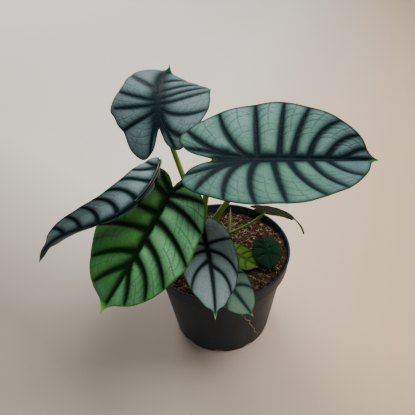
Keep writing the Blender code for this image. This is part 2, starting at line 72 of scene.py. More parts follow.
def meshPiece(name, points, faces, material, node=None, values=None):
    # points that coincide are welded, and faces that collapse are dropped
    points = np.asarray(points, float)
    keys = np.round(points / weldReach).astype(np.int64)
    _, first, place = np.unique(keys, axis=0, return_index=True, return_inverse=True)
    place = place.reshape(-1)
    kept = []
    for face in faces:
        corners = list(dict.fromkeys(int(place[corner]) for corner in face))
        if len(corners) > 2:
            kept.append(corners)
    mesh = bpy.data.meshes.new(name)
    mesh.from_pydata(points[first].tolist(), [], kept)
    for label, numbers in (values or {}).items():
        layer = mesh.attributes.new(label, "FLOAT", "POINT")
        layer.data.foreach_set("value", np.asarray(numbers, np.float32)[first])
    mesh.shade_smooth()
    mesh.materials.append(material)
    piece = linked(name, mesh)
    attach(piece, "root")
    if node:
        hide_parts(node)


def gridFaces(lines, columns, start=0, turnOver=False, closed=False):
    a = (np.arange(lines - 1)[:, None] * columns + np.arange(columns - 1)).ravel() + start
    faces = np.stack([a, a + 1, a + columns + 1, a + columns], 1)
    if closed:
        b = np.arange(lines - 1) * columns + columns - 1 + start
        faces = np.vstack([faces, np.stack([b, b - columns + 1, b + 1, b + columns], 1)])
    return faces[:, ::-1].tolist() if turnOver else faces.tolist()


def newMaterial(name):
    material = bpy.data.materials.new(name)
    material.use_nodes = True
    return material, material.node_tree, material.node_tree.nodes["Principled BSDF"]


def node(tree, kind, **settings):
    made = tree.nodes.new("ShaderNode" + kind)
    for key, value in settings.items():
        setattr(made, key, value)
    return made


def feed(tree, value, socket):
    # a number or a colour is set on the socket, anything else is linked to it
    if isinstance(value, (int, float)):
        socket.default_value = value
    elif isinstance(value, tuple):
        socket.default_value = (*value, 1)
    else:
        tree.links.new(value, socket)


def newGroup(name, inputs, outputs):
    group = bpy.data.node_groups.new(name, "ShaderNodeTree")
    for label, value in inputs.items():
        kind = "NodeSocketColor" if isinstance(value, tuple) else "NodeSocketFloat"
        feed(group, value, group.interface.new_socket(label, in_out="INPUT", socket_type=kind))
    for label, kind in outputs.items():
        group.interface.new_socket(label, in_out="OUTPUT", socket_type="NodeSocket" + kind)
    return group, group.nodes.new("NodeGroupInput"), group.nodes.new("NodeGroupOutput")


def mathNode(tree, operation, first, second, clamp=False):
    made = node(tree, "Math", operation=operation, use_clamp=clamp)
    feed(tree, first, made.inputs[0])
    feed(tree, second, made.inputs[1])
    return made.outputs[0]


def mixColour(tree, share, first, second):
    made = node(tree, "Mix", data_type="RGBA")
    sockets = [socket for socket in made.inputs if socket.enabled]
    for socket, value in zip(sockets, (share, first, second)):
        feed(tree, value, socket)
    return [socket for socket in made.outputs if socket.enabled][0]


def stretch(tree, value, fromLow, fromHigh, toLow=0.0, toHigh=1.0):
    made = node(tree, "MapRange")
    tree.links.new(value, made.inputs["Value"])
    labels = ("From Min", "From Max", "To Min", "To Max")
    for label, number in zip(labels, (fromLow, fromHigh, toLow, toHigh)):
        made.inputs[label].default_value = number
    return made.outputs["Result"]


def tinted(tree, tone, colour, mask, low, high, most=1.0):
    # lays the colour over the tone as the mask goes from low to high, up to the share most
    return mixColour(tree, stretch(tree, mask, low, high, 0.0, most), tone, colour)


def attribute(tree, label):
    return node(tree, "Attribute", attribute_type="GEOMETRY", attribute_name=label).outputs["Fac"]


def noiseValue(tree, scale, detail, vector=None, roughness=0.55):
    made = node(tree, "TexNoise")
    made.inputs["Scale"].default_value = scale
    made.inputs["Detail"].default_value = detail
    made.inputs["Roughness"].default_value = roughness
    if vector is None:
        vector = node(tree, "TexCoord").outputs["Object"]
    tree.links.new(vector, made.inputs["Vector"])
    return made.outputs["Fac"]


def bump(tree, height, strength, distance):
    made = node(tree, "Bump")
    made.inputs["Strength"].default_value = strength
    made.inputs["Distance"].default_value = distance
    tree.links.new(height, made.inputs["Height"])
    return made.outputs["Normal"]


def dress(tree, shader, colour, roughness, specular, normal=None):
    tree.links.new(colour, shader.inputs["Base Color"])
    feed(tree, roughness, shader.inputs["Roughness"])
    shader.inputs["Specular IOR Level"].default_value = specular
    if normal is not None:
        tree.links.new(normal, shader.inputs["Normal"])


# the half colour and its share are painted light: a lighter colour laid on a blade's left half, which lies
# brighter in the light
silverLook = {"Panel": (0.17, 0.32, 0.29), "Hollow": (0.028, 0.072, 0.068), "Vein": (0.003, 0.011, 0.014),
              "Second": (0.12, 0.3, 0.2), "Tip": (0.09, 0.15, 0.18), "Side": (0.17, 0.32, 0.29),
              "Margin": (0.01, 0.04, 0.018), "Point": (0.06, 0.15, 0.03), "Under": (0.11, 0.13, 0.095),
              "Under Vein": (0.17, 0.2, 0.13), "Second Share": 0.6, "Tip Share": 0.85, "LitSide Share": 0.0,
              "Mottle": 0.5, "Fine Veins": 0.55}

# scales of the leaf skin's patterns per metre, the net's warp in metres, and how each stands out in relief
leafPattern = dict(cloud=70, patch=28, speck=900, warp=240, warpReach=0.0022, cells=380, netWide=0.16,
                   netRelief=-0.6, fineRelief=-1.2, speckRelief=0.7)


def leafSkinGroup():
    # the skin shared by every blade: panels between veins, painted light on one half, fine veins, net,
    # specks, rim, point and underside
    shape = leafPattern
    outputs = {"Color": "Color", "Roughness": "Float", "Height": "Float"}
    group, given, out = newGroup("leafSkin", silverLook, outputs)
    take = given.outputs
    main, fine = attribute(group, "mainVein"), attribute(group, "fineVein")
    panel, margin = attribute(group, "panel"), attribute(group, "margin")
    along, under = attribute(group, "along"), attribute(group, "under")
    across = attribute(group, "flatY")
    cloud = noiseValue(group, shape["cloud"], 4)
    patch = noiseValue(group, shape["patch"], 2)
    speck = noiseValue(group, shape["speck"], 4, roughness=0.7)
    flat = node(group, "CombineXYZ")
    group.links.new(attribute(group, "flatX"), flat.inputs[0])
    group.links.new(across, flat.inputs[1])
    warp = node(group, "TexNoise")
    warp.inputs["Scale"].default_value = shape["warp"]
    group.links.new(flat.outputs[0], warp.inputs["Vector"])
    warped = node(group, "VectorMath", operation="MULTIPLY_ADD")
    group.links.new(warp.outputs["Color"], warped.inputs[0])
    warped.inputs[1].default_value = (shape["warpReach"], shape["warpReach"], 0)
    group.links.new(flat.outputs[0], warped.inputs[2])
    cells = node(group, "TexVoronoi", feature="DISTANCE_TO_EDGE")
    cells.inputs["Scale"].default_value = shape["cells"]
    group.links.new(warped.outputs[0], cells.inputs["Vector"])
    net = stretch(group, cells.outputs["Distance"], 0.0, shape["netWide"], 1.0, 0.0)

    def share(*factors):
        # the product of the factors, kept between 0 and 1
        total = factors[0]
        for factor in factors[1:]:
            total = mathNode(group, "MULTIPLY", total, factor, clamp=True)
        return total

    # painted light: the blade's left half takes the lighter half colour, as far as its share
    litSideShare = share(stretch(group, across, -0.001, 0.001), take["LitSide Share"])
    tone = mixColour(group, litSideShare, take["Panel"], take["Side"])
    secondShare = share(stretch(group, patch, 0.38, 0.66), take["Second Share"])
    tone = mixColour(group, secondShare, tone, take["Second"])
    tipShare = share(stretch(group, along, 0.3, 0.95), take["Tip Share"])
    tone = mixColour(group, tipShare, tone, take["Tip"])
    swell = mathNode(group, "MULTIPLY", mathNode(group, "SUBTRACT", cloud, 0.5), take["Mottle"])
    rise = mathNode(group, "POWER", mathNode(group, "ADD", panel, swell, clamp=True), 1.4)
    tone = mixColour(group, rise, take["Hollow"], tone)
    tone = mixColour(group, share(net, take["Fine Veins"], 0.35), tone, take["Hollow"])
    tone = mixColour(group, share(fine, take["Fine Veins"]), tone, take["Hollow"])
    tone = tinted(group, tone, take["Hollow"], speck, 0.35, 0.75, 0.2)
    tone = tinted(group, tone, take["Vein"], main, 0.06, 0.85)
    tone = mixColour(group, margin, tone, take["Margin"])
    tone = tinted(group, tone, take["Point"], along, 0.9, 0.985)
    below = tinted(group, take["Under"], take["Under Vein"], main, 0.3, 0.9)
    below = mixColour(group, share(fine, 0.3), below, take["Under Vein"])
    below = tinted(group, below, take["Hollow"], cloud, 0.35, 0.7, 0.35)
    below = mixColour(group, margin, below, take["Margin"])
    below = tinted(group, below, take["Point"], along, 0.8, 0.95)
    group.links.new(mixColour(group, under, tone, below), out.inputs["Color"])
    group.links.new(stretch(group, speck, 0.2, 0.8, 0.38, 0.56), out.inputs["Roughness"])
    height = mathNode(group, "MULTIPLY", net, shape["netRelief"])
    height = mathNode(group, "ADD", height, mathNode(group, "MULTIPLY", fine, shape["fineRelief"]))
    height = mathNode(group, "ADD", height, mathNode(group, "MULTIPLY", speck, shape["speckRelief"]))
    group.links.new(height, out.inputs["Height"])
    return group


leafSkin = leafSkinGroup()


def leafMaterial(name, look):
    material, tree, shader = newMaterial(name)
    skin = node(tree, "Group", node_tree=leafSkin)
    for label, value in look.items():
        feed(tree, value, skin.inputs[label])
    normal = bump(tree, skin.outputs["Height"], 0.3, 0.0005)
    dress(tree, shader, skin.outputs["Color"], skin.outputs["Roughness"], 0.05, normal)
    return material


# angles in degrees; length, veinWidth, rimWidth, pucker, tipThick and tipLift in millimetres; the rest
# are shares and counts
bladeUsual = dict(sinus=0.2, splay=0.03, droop=0, lateDroop=0, back=0, swing=0, lateSwing=0, fold=(5, 5),
                  curl=(-12, -12), twist=0, flatten=0, tip=0.1, shoulder=1, hip=1, rows=18, steps=5,
                  veinWidth=1.0, pucker=0.8, fineRows=220, fineSteps=44, left=(), right=(), pushes=((), ()),
                  wave=0.012, waves=5, hub=0, rimWidth=0.8, ribWide=1.0, tipThick=0.15, tipLift=0,
                  slot="silver_leaf")

# left and right list the main side veins: start along the midrib (below 0: on the lobe's own vein),
# end along the edge from the tip (0) to the sinus (1), and bend; the first of them is the lobe's own
# vein, and a blade without right has the left's veins on both halves
blades = {
    "back_blade": dict(
        length=70, width=0.56, lobes=0.57, sinus=0.28, splay=0.16, heading=90, pitch=26, roll=-6, droop=-58,
        back=-40, swing=-8, lateSwing=-5, fold=(-4, 4), curl=(-30, -4), twist=38, flatten=-6, shoulder=0.9,
        hip=1.06, veinWidth=1.75, wave=0.006, ribWide=2.3, tipLift=9, rimWidth=1.3,
        pushes=(((0.17, 0.04, 0.11), (0.33, 0.05, -0.1), (0.455, 0.04, 0.09), (0.63, 0.07, -0.14)),
        ((0.2, 0.05, -0.06), (0.3, 0.03, 0.05))), left=((0, 0.86, 0.05), (0.22, 0.24, 0.05),
        (0.05, 0.36, 0.1), (0.0, 0.46, 0.1), (-0.08, 0.6, 0.05)), right=((0, 0.85, 0.08), (0.34, 0.22, 0.0),
        (0.17, 0.32, 0.05), (0.06, 0.39, 0.05), (0.0, 0.46, 0.12), (-0.06, 0.61, 0.25), (-0.3, 0.76, 0.1))),
    "right_blade": dict(
        length=92, width=0.43, lobes=0.525, sinus=0.28, splay=0.125, heading=5, pitch=-6, roll=25, droop=-6,
        back=-11, swing=5, lateSwing=2, fold=(16, 15), curl=(-9, -6), twist=9, flatten=20, veinWidth=1.85,
        fineRows=300, fineSteps=60, ribWide=1.35, rimWidth=1.5, pucker=1.0,
        pushes=((), ((0.13, 0.05, -0.06),)), left=((0, 0.88, 0.02), (0.03, 0.53, 0.02), (0.19, 0.43, 0.03),
        (0.29, 0.34, 0.1), (0.42, 0.22, 0.3), (0.56, 0.13, 0.3), (0.7, 0.07, 0.2), (-0.05, 0.66, 0.2),
        (-0.2, 0.79, 0.15)), right=((0, 0.87, 0.02), (0.03, 0.58, 0.22), (0.14, 0.48, 0.05),
        (0.26, 0.34, 0.22), (0.42, 0.25, 0.25), (0.56, 0.14, 0.3), (-0.06, 0.68, 0.25), (-0.16, 0.78, 0.15))),
    "left_blade": dict(
        length=138, width=0.153, lobes=0.1, sinus=0.05, heading=253, splay=0.02, pitch=-17.6, roll=7,
        droop=-185, lateDroop=128, swing=-241, lateSwing=224, fold=(-95, -34), curl=(-72, 80), twist=32,
        flatten=29, tip=0.14, shoulder=0.76, hip=0.89, rows=22, veinWidth=1.7, fineRows=260, fineSteps=34,
        left=((0, 0.9, 0), (0.06, 0.72, 0.4), (0.2, 0.58, 0.4), (0.34, 0.48, 0.4), (0.48, 0.38, 0.35)),
        right=((0, 0.9, 0), (-0.02, 0.78, 0.3), (0.08, 0.66, 0.42), (0.2, 0.56, 0.42), (0.33, 0.48, 0.42),
        (0.46, 0.4, 0.4), (0.58, 0.3, 0.35), (0.7, 0.2, 0.3))),
    "front_left_blade": dict(
        slot="green_leaf", length=88.5, width=0.535, lobes=0.28, sinus=0.176, splay=0.06, heading=230,
        pitch=-39, roll=3, droop=10, swing=-4, lateSwing=6, fold=(17, 12), curl=(-11, -16), twist=-13,
        flatten=-9, veinWidth=1.9, fineRows=300, fineSteps=64, hub=-0.12, pucker=1.3, rimWidth=1.1,
        left=((0, 0.87, 0.02), (0.02, 0.72, 0.05), (0.09, 0.6, 0.12), (0.26, 0.46, 0.16),
        (0.44, 0.32, 0.22), (0.6, 0.22, 0.3), (0.7, 0.12, 0.12)), right=((0, 0.87, 0.02), (0.05, 0.74, 0.1),
        (0.2, 0.56, 0.05), (0.36, 0.42, 0.12), (0.56, 0.27, 0.15), (0.68, 0.15, 0.12))),
    "front_blade": dict(
        length=52.5, width=0.4, lobes=0.42, heading=-79, splay=0.02, pitch=-26, roll=-3, droop=-18,
        swing=-10, fold=(2, 5), curl=(-8, -12), twist=2, tip=0.13, veinWidth=0.95, pucker=0.9,
        pushes=(((0.16, 0.08, -0.14),), ((0.16, 0.08, -0.14),)), fineRows=200, fineSteps=40,
        left=((0, 0.9, 0.03), (-0.04, 0.62, 0.1), (0.05, 0.36, 0.3), (0.27, 0.2, 0.3)),
        right=((0, 0.9, 0.03), (-0.04, 0.64, 0.1), (0.05, 0.48, 0.2), (0.2, 0.28, 0.3))),
    "low_front_blade": dict(
        length=35.8, width=0.465, lobes=0.5, heading=-47, pitch=-24, roll=4, droop=-12, swing=-1,
        fold=(6, 2), curl=(-12, -14), twist=2, rows=14, steps=4, pucker=0.5, fineRows=140, fineSteps=30,
        left=((0, 0.9, 0.03), (-0.05, 0.66, 0.1), (0.05, 0.46, 0.25), (0.25, 0.28, 0.3))),
    "rear_blade": dict(
        length=41.6, width=0.233, lobes=0.3, heading=-34, pitch=17, roll=-55, droop=-4, lateDroop=-84,
        swing=-12, fold=(0, -3), curl=(-20, 1), tip=0.34, rows=14, steps=4, tipThick=0.55, veinWidth=0.9,
        pucker=0.4, fineRows=150, fineSteps=24, left=((0, 0.9, 0.03), (0.0, 0.66, 0.1), (0.12, 0.52, 0.2),
        (0.28, 0.42, 0.2))),
    "dark_seedling_blade": dict(
        slot="green_leaf", length=18.5, width=0.66, lobes=0.78, sinus=0.4, splay=0.1, heading=-88,
        pitch=-12, roll=4, droop=-12, back=-10, fold=(0, 0), curl=(-15, -15), rows=12, steps=3,
        veinWidth=0.6, pucker=0.35, fineRows=110, fineSteps=26, left=((0, 0.86, 0.05), (0.0, 0.55, 0.1),
        (0.25, 0.3, 0.2), (-0.2, 0.7, 0.1))),
    "lime_seedling_blade": dict(
        slot="lime_leaf", length=30.4, width=0.38, lobes=0.35, sinus=0.15, splay=0.02, heading=-38,
        pitch=-4, roll=4, droop=-8, fold=(0, 0), curl=(-10, -10), tip=0.24, rows=12, steps=3, veinWidth=0.6,
        pucker=0.35, fineRows=130, fineSteps=24, left=((0, 0.9, 0.03), (0.0, 0.62, 0.1), (0.2, 0.42, 0.2),
        (0.4, 0.3, 0.2))),
}

looks = {
    "back_blade": dict(
        silverLook, Panel=(0.135, 0.21, 0.228), Hollow=(0.026, 0.052, 0.06), Second=(0.115, 0.21, 0.19),
        Tip=(0.05, 0.1, 0.08), Point=(0.02, 0.06, 0.015)),
    # painted light: this blade's left half is given a lighter colour, as if lit more strongly
    "right_blade": dict(
        silverLook, Panel=(0.098, 0.198, 0.182), Margin=(0.006, 0.024, 0.016), Hollow=(0.016, 0.046, 0.044),
        Second=(0.09, 0.235, 0.155), Side=(0.17, 0.32, 0.31), **{"LitSide Share": 1}),
    "left_blade": dict(
        silverLook, Panel=(0.21, 0.31, 0.33), Hollow=(0.05, 0.09, 0.1), Second=(0.15, 0.27, 0.24),
        Tip=(0.16, 0.25, 0.26), Point=(0.06, 0.1, 0.03), Under=(0.05, 0.1, 0.03)),
    # painted light: this blade's left half is given a bright glowing green, as if lit through
    "front_left_blade": dict(
        silverLook, Panel=(0.05, 0.19, 0.045), Hollow=(0.009, 0.05, 0.008), Vein=(0.0015, 0.012, 0.002),
        Second=(0.09, 0.3, 0.06), Side=(0.25, 0.68, 0.33), Tip=(0.028, 0.09, 0.05),
        Margin=(0.04, 0.12, 0.012), Point=(0.12, 0.4, 0.03),
        **{"LitSide Share": 0.95, "Tip Share": 0.8, "Second Share": 0.5}),
    "front_blade": dict(
        silverLook, Panel=(0.27, 0.365, 0.38), Hollow=(0.07, 0.115, 0.125), Second=(0.21, 0.34, 0.32),
        Vein=(0.008, 0.018, 0.02), Tip=(0.24, 0.35, 0.34), Point=(0.25, 0.38, 0.2)),
    "low_front_blade": dict(
        silverLook, Panel=(0.175, 0.29, 0.25), Hollow=(0.05, 0.1, 0.08), Vein=(0.014, 0.034, 0.03),
        Second=(0.11, 0.22, 0.15), Tip=(0.12, 0.21, 0.13), Point=(0.22, 0.3, 0.16)),
    "rear_blade": dict(
        silverLook, Under=(0.15, 0.155, 0.12), Margin=(0.045, 0.03, 0.018), Point=(0.04, 0.02, 0.008),
        **{"Under Vein": (0.19, 0.2, 0.15)}),
    "dark_seedling_blade": dict(
        silverLook, Panel=(0.007, 0.045, 0.018), Hollow=(0.004, 0.022, 0.009), Vein=(0.008, 0.036, 0.019),
        Second=(0.004, 0.03, 0.008), Tip=(0.004, 0.02, 0.012), Margin=(0.003, 0.015, 0.007),
        Point=(0.01, 0.04, 0.016), Side=(0.004, 0.022, 0.012)),
    "lime_seedling_blade": dict(
        silverLook, Panel=(0.11, 0.22, 0.026), Hollow=(0.055, 0.12, 0.012), Vein=(0.03, 0.08, 0.006),
        Second=(0.06, 0.15, 0.01), Tip=(0.12, 0.21, 0.03), Margin=(0.05, 0.12, 0.01), Point=(0.2, 0.3, 0.1),
        Side=(0.09, 0.19, 0.014)),
}


def halfOutline(leaf, between):
    # a half blade's edge from its tip to its sinus, in shares of the blade's length
    width, lobes, splay, tip = leaf["width"], leaf["lobes"], leaf["splay"], leaf["tip"]
    shoulder, hip = leaf["shoulder"], leaf["hip"]
    guide = np.array([
        (1, 0),
        (1 - 0.45 * tip, 0.018),
        (1 - tip, 0.115 * width * shoulder + 0.01),
        (0.8, 0.46 * width * shoulder),
        (0.58, 0.78 * width * (shoulder + 1) / 2),
        (0.32, 0.97 * width),
        (0.08, width),
        (-0.3 * lobes, 0.93 * width * hip),
        (-0.66 * lobes, (0.74 * width + 0.1 * splay) * hip),
        (-0.92 * lobes, 0.5 * width + 0.3 * splay),
        (-lobes, 0.3 * width + 0.4 * splay),
        (-0.93 * lobes, 0.14 * width + 0.35 * splay),
        (-0.8 * lobes, 0.06 * width + 0.2 * splay),
        (-leaf["sinus"], 0),
    ])
    if tip > 0.2:  # a long drip tip takes the shoulder's place
        guide = np.delete(guide, 3, axis=0)
    ends = np.vstack([2 * guide[0] - guide[1], guide, 2 * guide[-1] - guide[-2]])
    share = np.linspace(0, 1, between, endpoint=False)[:, None]
    pieces = []
    for before, start, end, after in zip(ends, ends[1:], ends[2:], ends[3:]):
        pieces.append(0.5 * (2 * start + (end - before) * share
                             + (2 * before - 5 * start + 4 * end - after) * share**2
                             + (3 * start - before - 3 * end + after) * share**3))
    return np.vstack([*pieces, guide[-1:]])


def edgeShares(edge):
    along = np.r_[0, np.cumsum(np.linalg.norm(np.diff(edge, axis=0), axis=1))]
    return along / along[-1]


def halfGrid(leaf, rows, steps, between):
    # rows run from the midrib to the edge
    edge = halfOutline(leaf, between)
    along = edgeShares(edge)
    row = np.linspace(0, 1, rows + 1)
    edgeX, edgeY = np.interp(row, along, edge[:, 0]), np.interp(row, along, edge[:, 1])
    widest = along[np.argmax(edge[:, 1])]
    spine = np.interp(row, [0, widest, (1 + widest) / 2, 1], [1, 0.12, -0.4 * leaf["sinus"], -leaf["sinus"]])
    across = np.linspace(0, 1, steps + 1)[:, None]
    return spine + (edgeX - spine) * across, edgeY * across


def grown(leaf, x, y):
    # bends flat points, in metres from the joint, into the blade's middle surface
    length, rad = leaf["length"] * mm, math.radians
    flat = x.ravel(), y.ravel()
    walk = np.linspace(0, 1, 24)[:, None] * flat[0]
    share = walk / length
    ahead = rad(leaf["droop"]) * share + rad(leaf["lateDroop"]) * share**2
    pitch = rad(leaf["pitch"]) + np.where(share > 0, ahead, rad(leaf["back"]) * share)
    swing = rad(leaf["swing"]) * share + rad(leaf["lateSwing"]) * share * abs(share)
    east, north = bearing(leaf["heading"])
    forward = np.stack([np.cos(pitch) * east, np.cos(pitch) * north, np.sin(pitch)], -1)
    left = np.broadcast_to(np.array((-north, east, 0.0)), forward.shape)
    up = np.cross(forward, left)[-1]
    ahead = np.cos(swing)[..., None] * forward + np.sin(swing)[..., None] * left
    aside = (np.cos(swing)[..., None] * left - np.sin(swing)[..., None] * forward)[-1]
    midrib = (ahead[:-1] + ahead[1:]).sum(0) * (flat[0] / 46)[:, None]
    side, out = np.sign(flat[1]), abs(flat[1])
    fold = np.where(side > 0, rad(leaf["fold"][0]), rad(leaf["fold"][1]))
    fold = fold + rad(leaf["flatten"]) * flat[0] / length
    curl = np.where(side > 0, rad(leaf["curl"][0]), rad(leaf["curl"][1]))
    lean = fold + curl * np.linspace(0, 1, 8)[:, None] * out / (length * leaf["width"])
    level = (np.cos(lean)[:-1] + np.cos(lean)[1:]).sum(0) * out / 14 * side
    lift = (np.sin(lean)[:-1] + np.sin(lean)[1:]).sum(0) * out / 14
    turn = rad(leaf["roll"]) + rad(leaf["twist"]) * flat[0] / length
    turnedAside = np.cos(turn)[:, None] * aside + np.sin(turn)[:, None] * up
    turnedUp = np.cos(turn)[:, None] * up - np.sin(turn)[:, None] * aside
    return (midrib + level[:, None] * turnedAside + lift[:, None] * turnedUp).reshape(*x.shape, 3)


def upSide(leaf, x, y):
    # unit normals of the upper side, the mean of both halves on the midrib
    nudge = 0.05 * mm
    aside = np.where(y == 0, nudge, 0)
    total = 0
    for sign in (1, -1):
        beside = y + sign * aside
        along = grown(leaf, x + nudge, beside) - grown(leaf, x - nudge, beside)
        across = (grown(leaf, x, beside + sign * nudge) - grown(leaf, x, beside)) * sign
        normal = np.cross(along, across)
        total = total + normal / np.linalg.norm(normal, axis=-1, keepdims=True)
    return total / np.linalg.norm(total, axis=-1, keepdims=True)


def bladeGrid(leaf, rows, steps, between=8, fine=False):
    halfX, halfY = (part * leaf["length"] * mm for part in halfGrid(leaf, rows, steps, between))
    leftX, leftY = pushed(leaf, 0, halfX, halfY) if fine else (halfX, halfY)
    rightX, rightY = pushed(leaf, 1, halfX, halfY) if fine else (halfX, halfY)
    return np.vstack([leftX[::-1], rightX[1:]]), np.vstack([leftY[::-1], -rightY[1:]])


def pushed(leaf, side, x, y):
    # swells or draws in a half blade's edge at each push: edge share, spread and amount
    row = np.linspace(0, 1, x.shape[1])
    amount = np.zeros(len(row))
    for at, spread, much in leaf["pushes"][side]:
        amount += much * np.exp(-((row - at) / spread)**2)
    wave = leaf["wave"] * np.sin(row * leaf["waves"] * math.tau + side)
    wave *= np.sin(np.pi * np.clip(row * 1.6 - 0.2, 0, 1))
    grow = 1 + (amount + wave) * np.linspace(0, 1, x.shape[0])[:, None]**2
    return x[:1] + (x - x[:1]) * grow, y * grow


cadSkin = dict(half=0.35, ridge=0.9)  # the CAD blade's half thickness and its depth under the midrib


def jointPlace(name, leaf):
    # where the joint is: the CAD solid's lowest corner less that of the same solid grown at the origin
    x, y = bladeGrid(leaf, leaf["rows"], leaf["steps"])
    middle, normal = grown(leaf, x, y), upSide(leaf, x, y)
    lower = np.full(x.shape, cadSkin["half"] * mm)
    lower[leaf["steps"], 1:-1] = cadSkin["ridge"] * mm
    top = (middle + normal * cadSkin["half"] * mm).reshape(-1, 3)
    skins = np.vstack([top, (middle - normal * lower[..., None]).reshape(-1, 3)])
    return np.array(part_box(name)[0]) - skins.min(0)


# half widths in shares of the blade's veinWidth, from a vein's root (0) to its end (1); fine veins
# start on their side vein at fineAt and swing a share of the way to the next one
veinShape = dict(count=22, lobeAt=(0, 0.3, 1), lobe=(2.3, 1.5, 0.5), sideAt=(0, 0.08, 0.25, 0.75, 1),
                 side=(3.4, 2.0, 1.3, 0.95, 0.4), midrib=(2.0, 2.7, 1.9, 0.45),
                 fineAt=(0.34, 0.5, 0.66, 0.82), fineLead=0.26, fineReach=(0.8, 0.62), fineBend=0.3,
                 fine=(0.3, 0.1), between=(0.14, 0.34))


def bowed(start, end, bend, count):
    chord = end - start
    aside = np.array((-chord[1], chord[0])) * (1 if end[1] >= 0 else -1)
    middle = (start + end) / 2 + aside * bend
    share = np.linspace(0, 1, count)[:, None]
    return (1 - share)**2 * start + 2 * share * (1 - share) * middle + share**2 * end


def nearLine(points, line, widths):
    # distance to the line over the line's half width there, and plain distance
    best, plain = np.full((2, len(points)), farOff)
    for start, end, wide, thin in zip(line, line[1:], widths, widths[1:]):
        step = end - start
        share = np.clip(((points - start) @ step) / max(step @ step, 1e-12), 0, 1)
        gap = np.linalg.norm(points - start - share[:, None] * step, axis=1)
        best = np.minimum(best, gap / (wide + (thin - wide) * share))
        plain = np.minimum(plain, gap)
    return best, plain


def veinLines(leaf, half, side):
    # main and fine veins of a half blade as (points, half widths), in metres
    length = leaf["length"] * mm
    shape, count = veinShape, veinShape["count"]
    edge = halfOutline(leaf, 12) * (length, length * side)
    along = edgeShares(edge)
    wide = leaf["veinWidth"] * mm

    def rimPoint(share, inset=0.95):
        spot = np.array((np.interp(share, along, edge[:, 0]), np.interp(share, along, edge[:, 1])))
        return spot * (inset + 0.03, inset)

    main, fine = [], []
    taper = np.linspace(0, 1, count)
    hub = leaf["hub"]
    lobe = bowed(np.array((hub * length, 0)), rimPoint(half[0][1], 0.93), half[0][2], count)
    main.append((lobe, np.interp(taper, shape["lobeAt"], np.array(shape["lobe"]) * wide)))
    ordered = [(half[0][1], lobe)]
    for start, end, bend in half[1:]:
        if start >= 0:
            root = np.array(((hub + start) * length, 0))
        else:
            root = lobe[np.argmin(abs(lobe[:, 0] - (hub + start) * length))]
        line = bowed(root, rimPoint(end, 0.97), bend, count)
        ordered.append((end, line))
        main.append((line, np.interp(taper, shape["sideAt"], np.array(shape["side"]) * wide)))
    ordered.sort(key=lambda vein: vein[0])
    # fine veins are arcs that leave each side vein and swing towards the next one and the edge
    last = count - 1
    for (firstEnd, firstLine), (nextEnd, nextLine) in zip(ordered, ordered[1:]):
        for number, share in enumerate(shape["fineAt"]):
            root = nextLine[int(share * last)]
            target = firstLine[min(last, int((share + shape["fineLead"]) * last))]
            reach = shape["fineReach"][number % 2]
            line = bowed(root, root + (target - root) * reach, shape["fineBend"], 12)
            fine.append((line, np.linspace(*shape["fine"], 12) * wide))
        root = (firstLine[count // 2] + nextLine[count // 2]) / 2
        line = bowed(root, rimPoint((firstEnd + nextEnd) / 2, 0.97), 0.12, 14)
        fine.append((line, np.linspace(*shape["between"], 14) * wide))
    return main, fine


# a blade's relief: thicknesses and the rim's fade in millimetres, the rest are powers or shares of
# veinWidth and pucker
relief = dict(edge=0.1, body=0.18, rimFade=3, panelWide=1.7, panelPower=1.3, swellWide=2.4, swellPower=1.5,
              veinCrease=0.7, fineCrease=0.1, ribDepth=0.35)


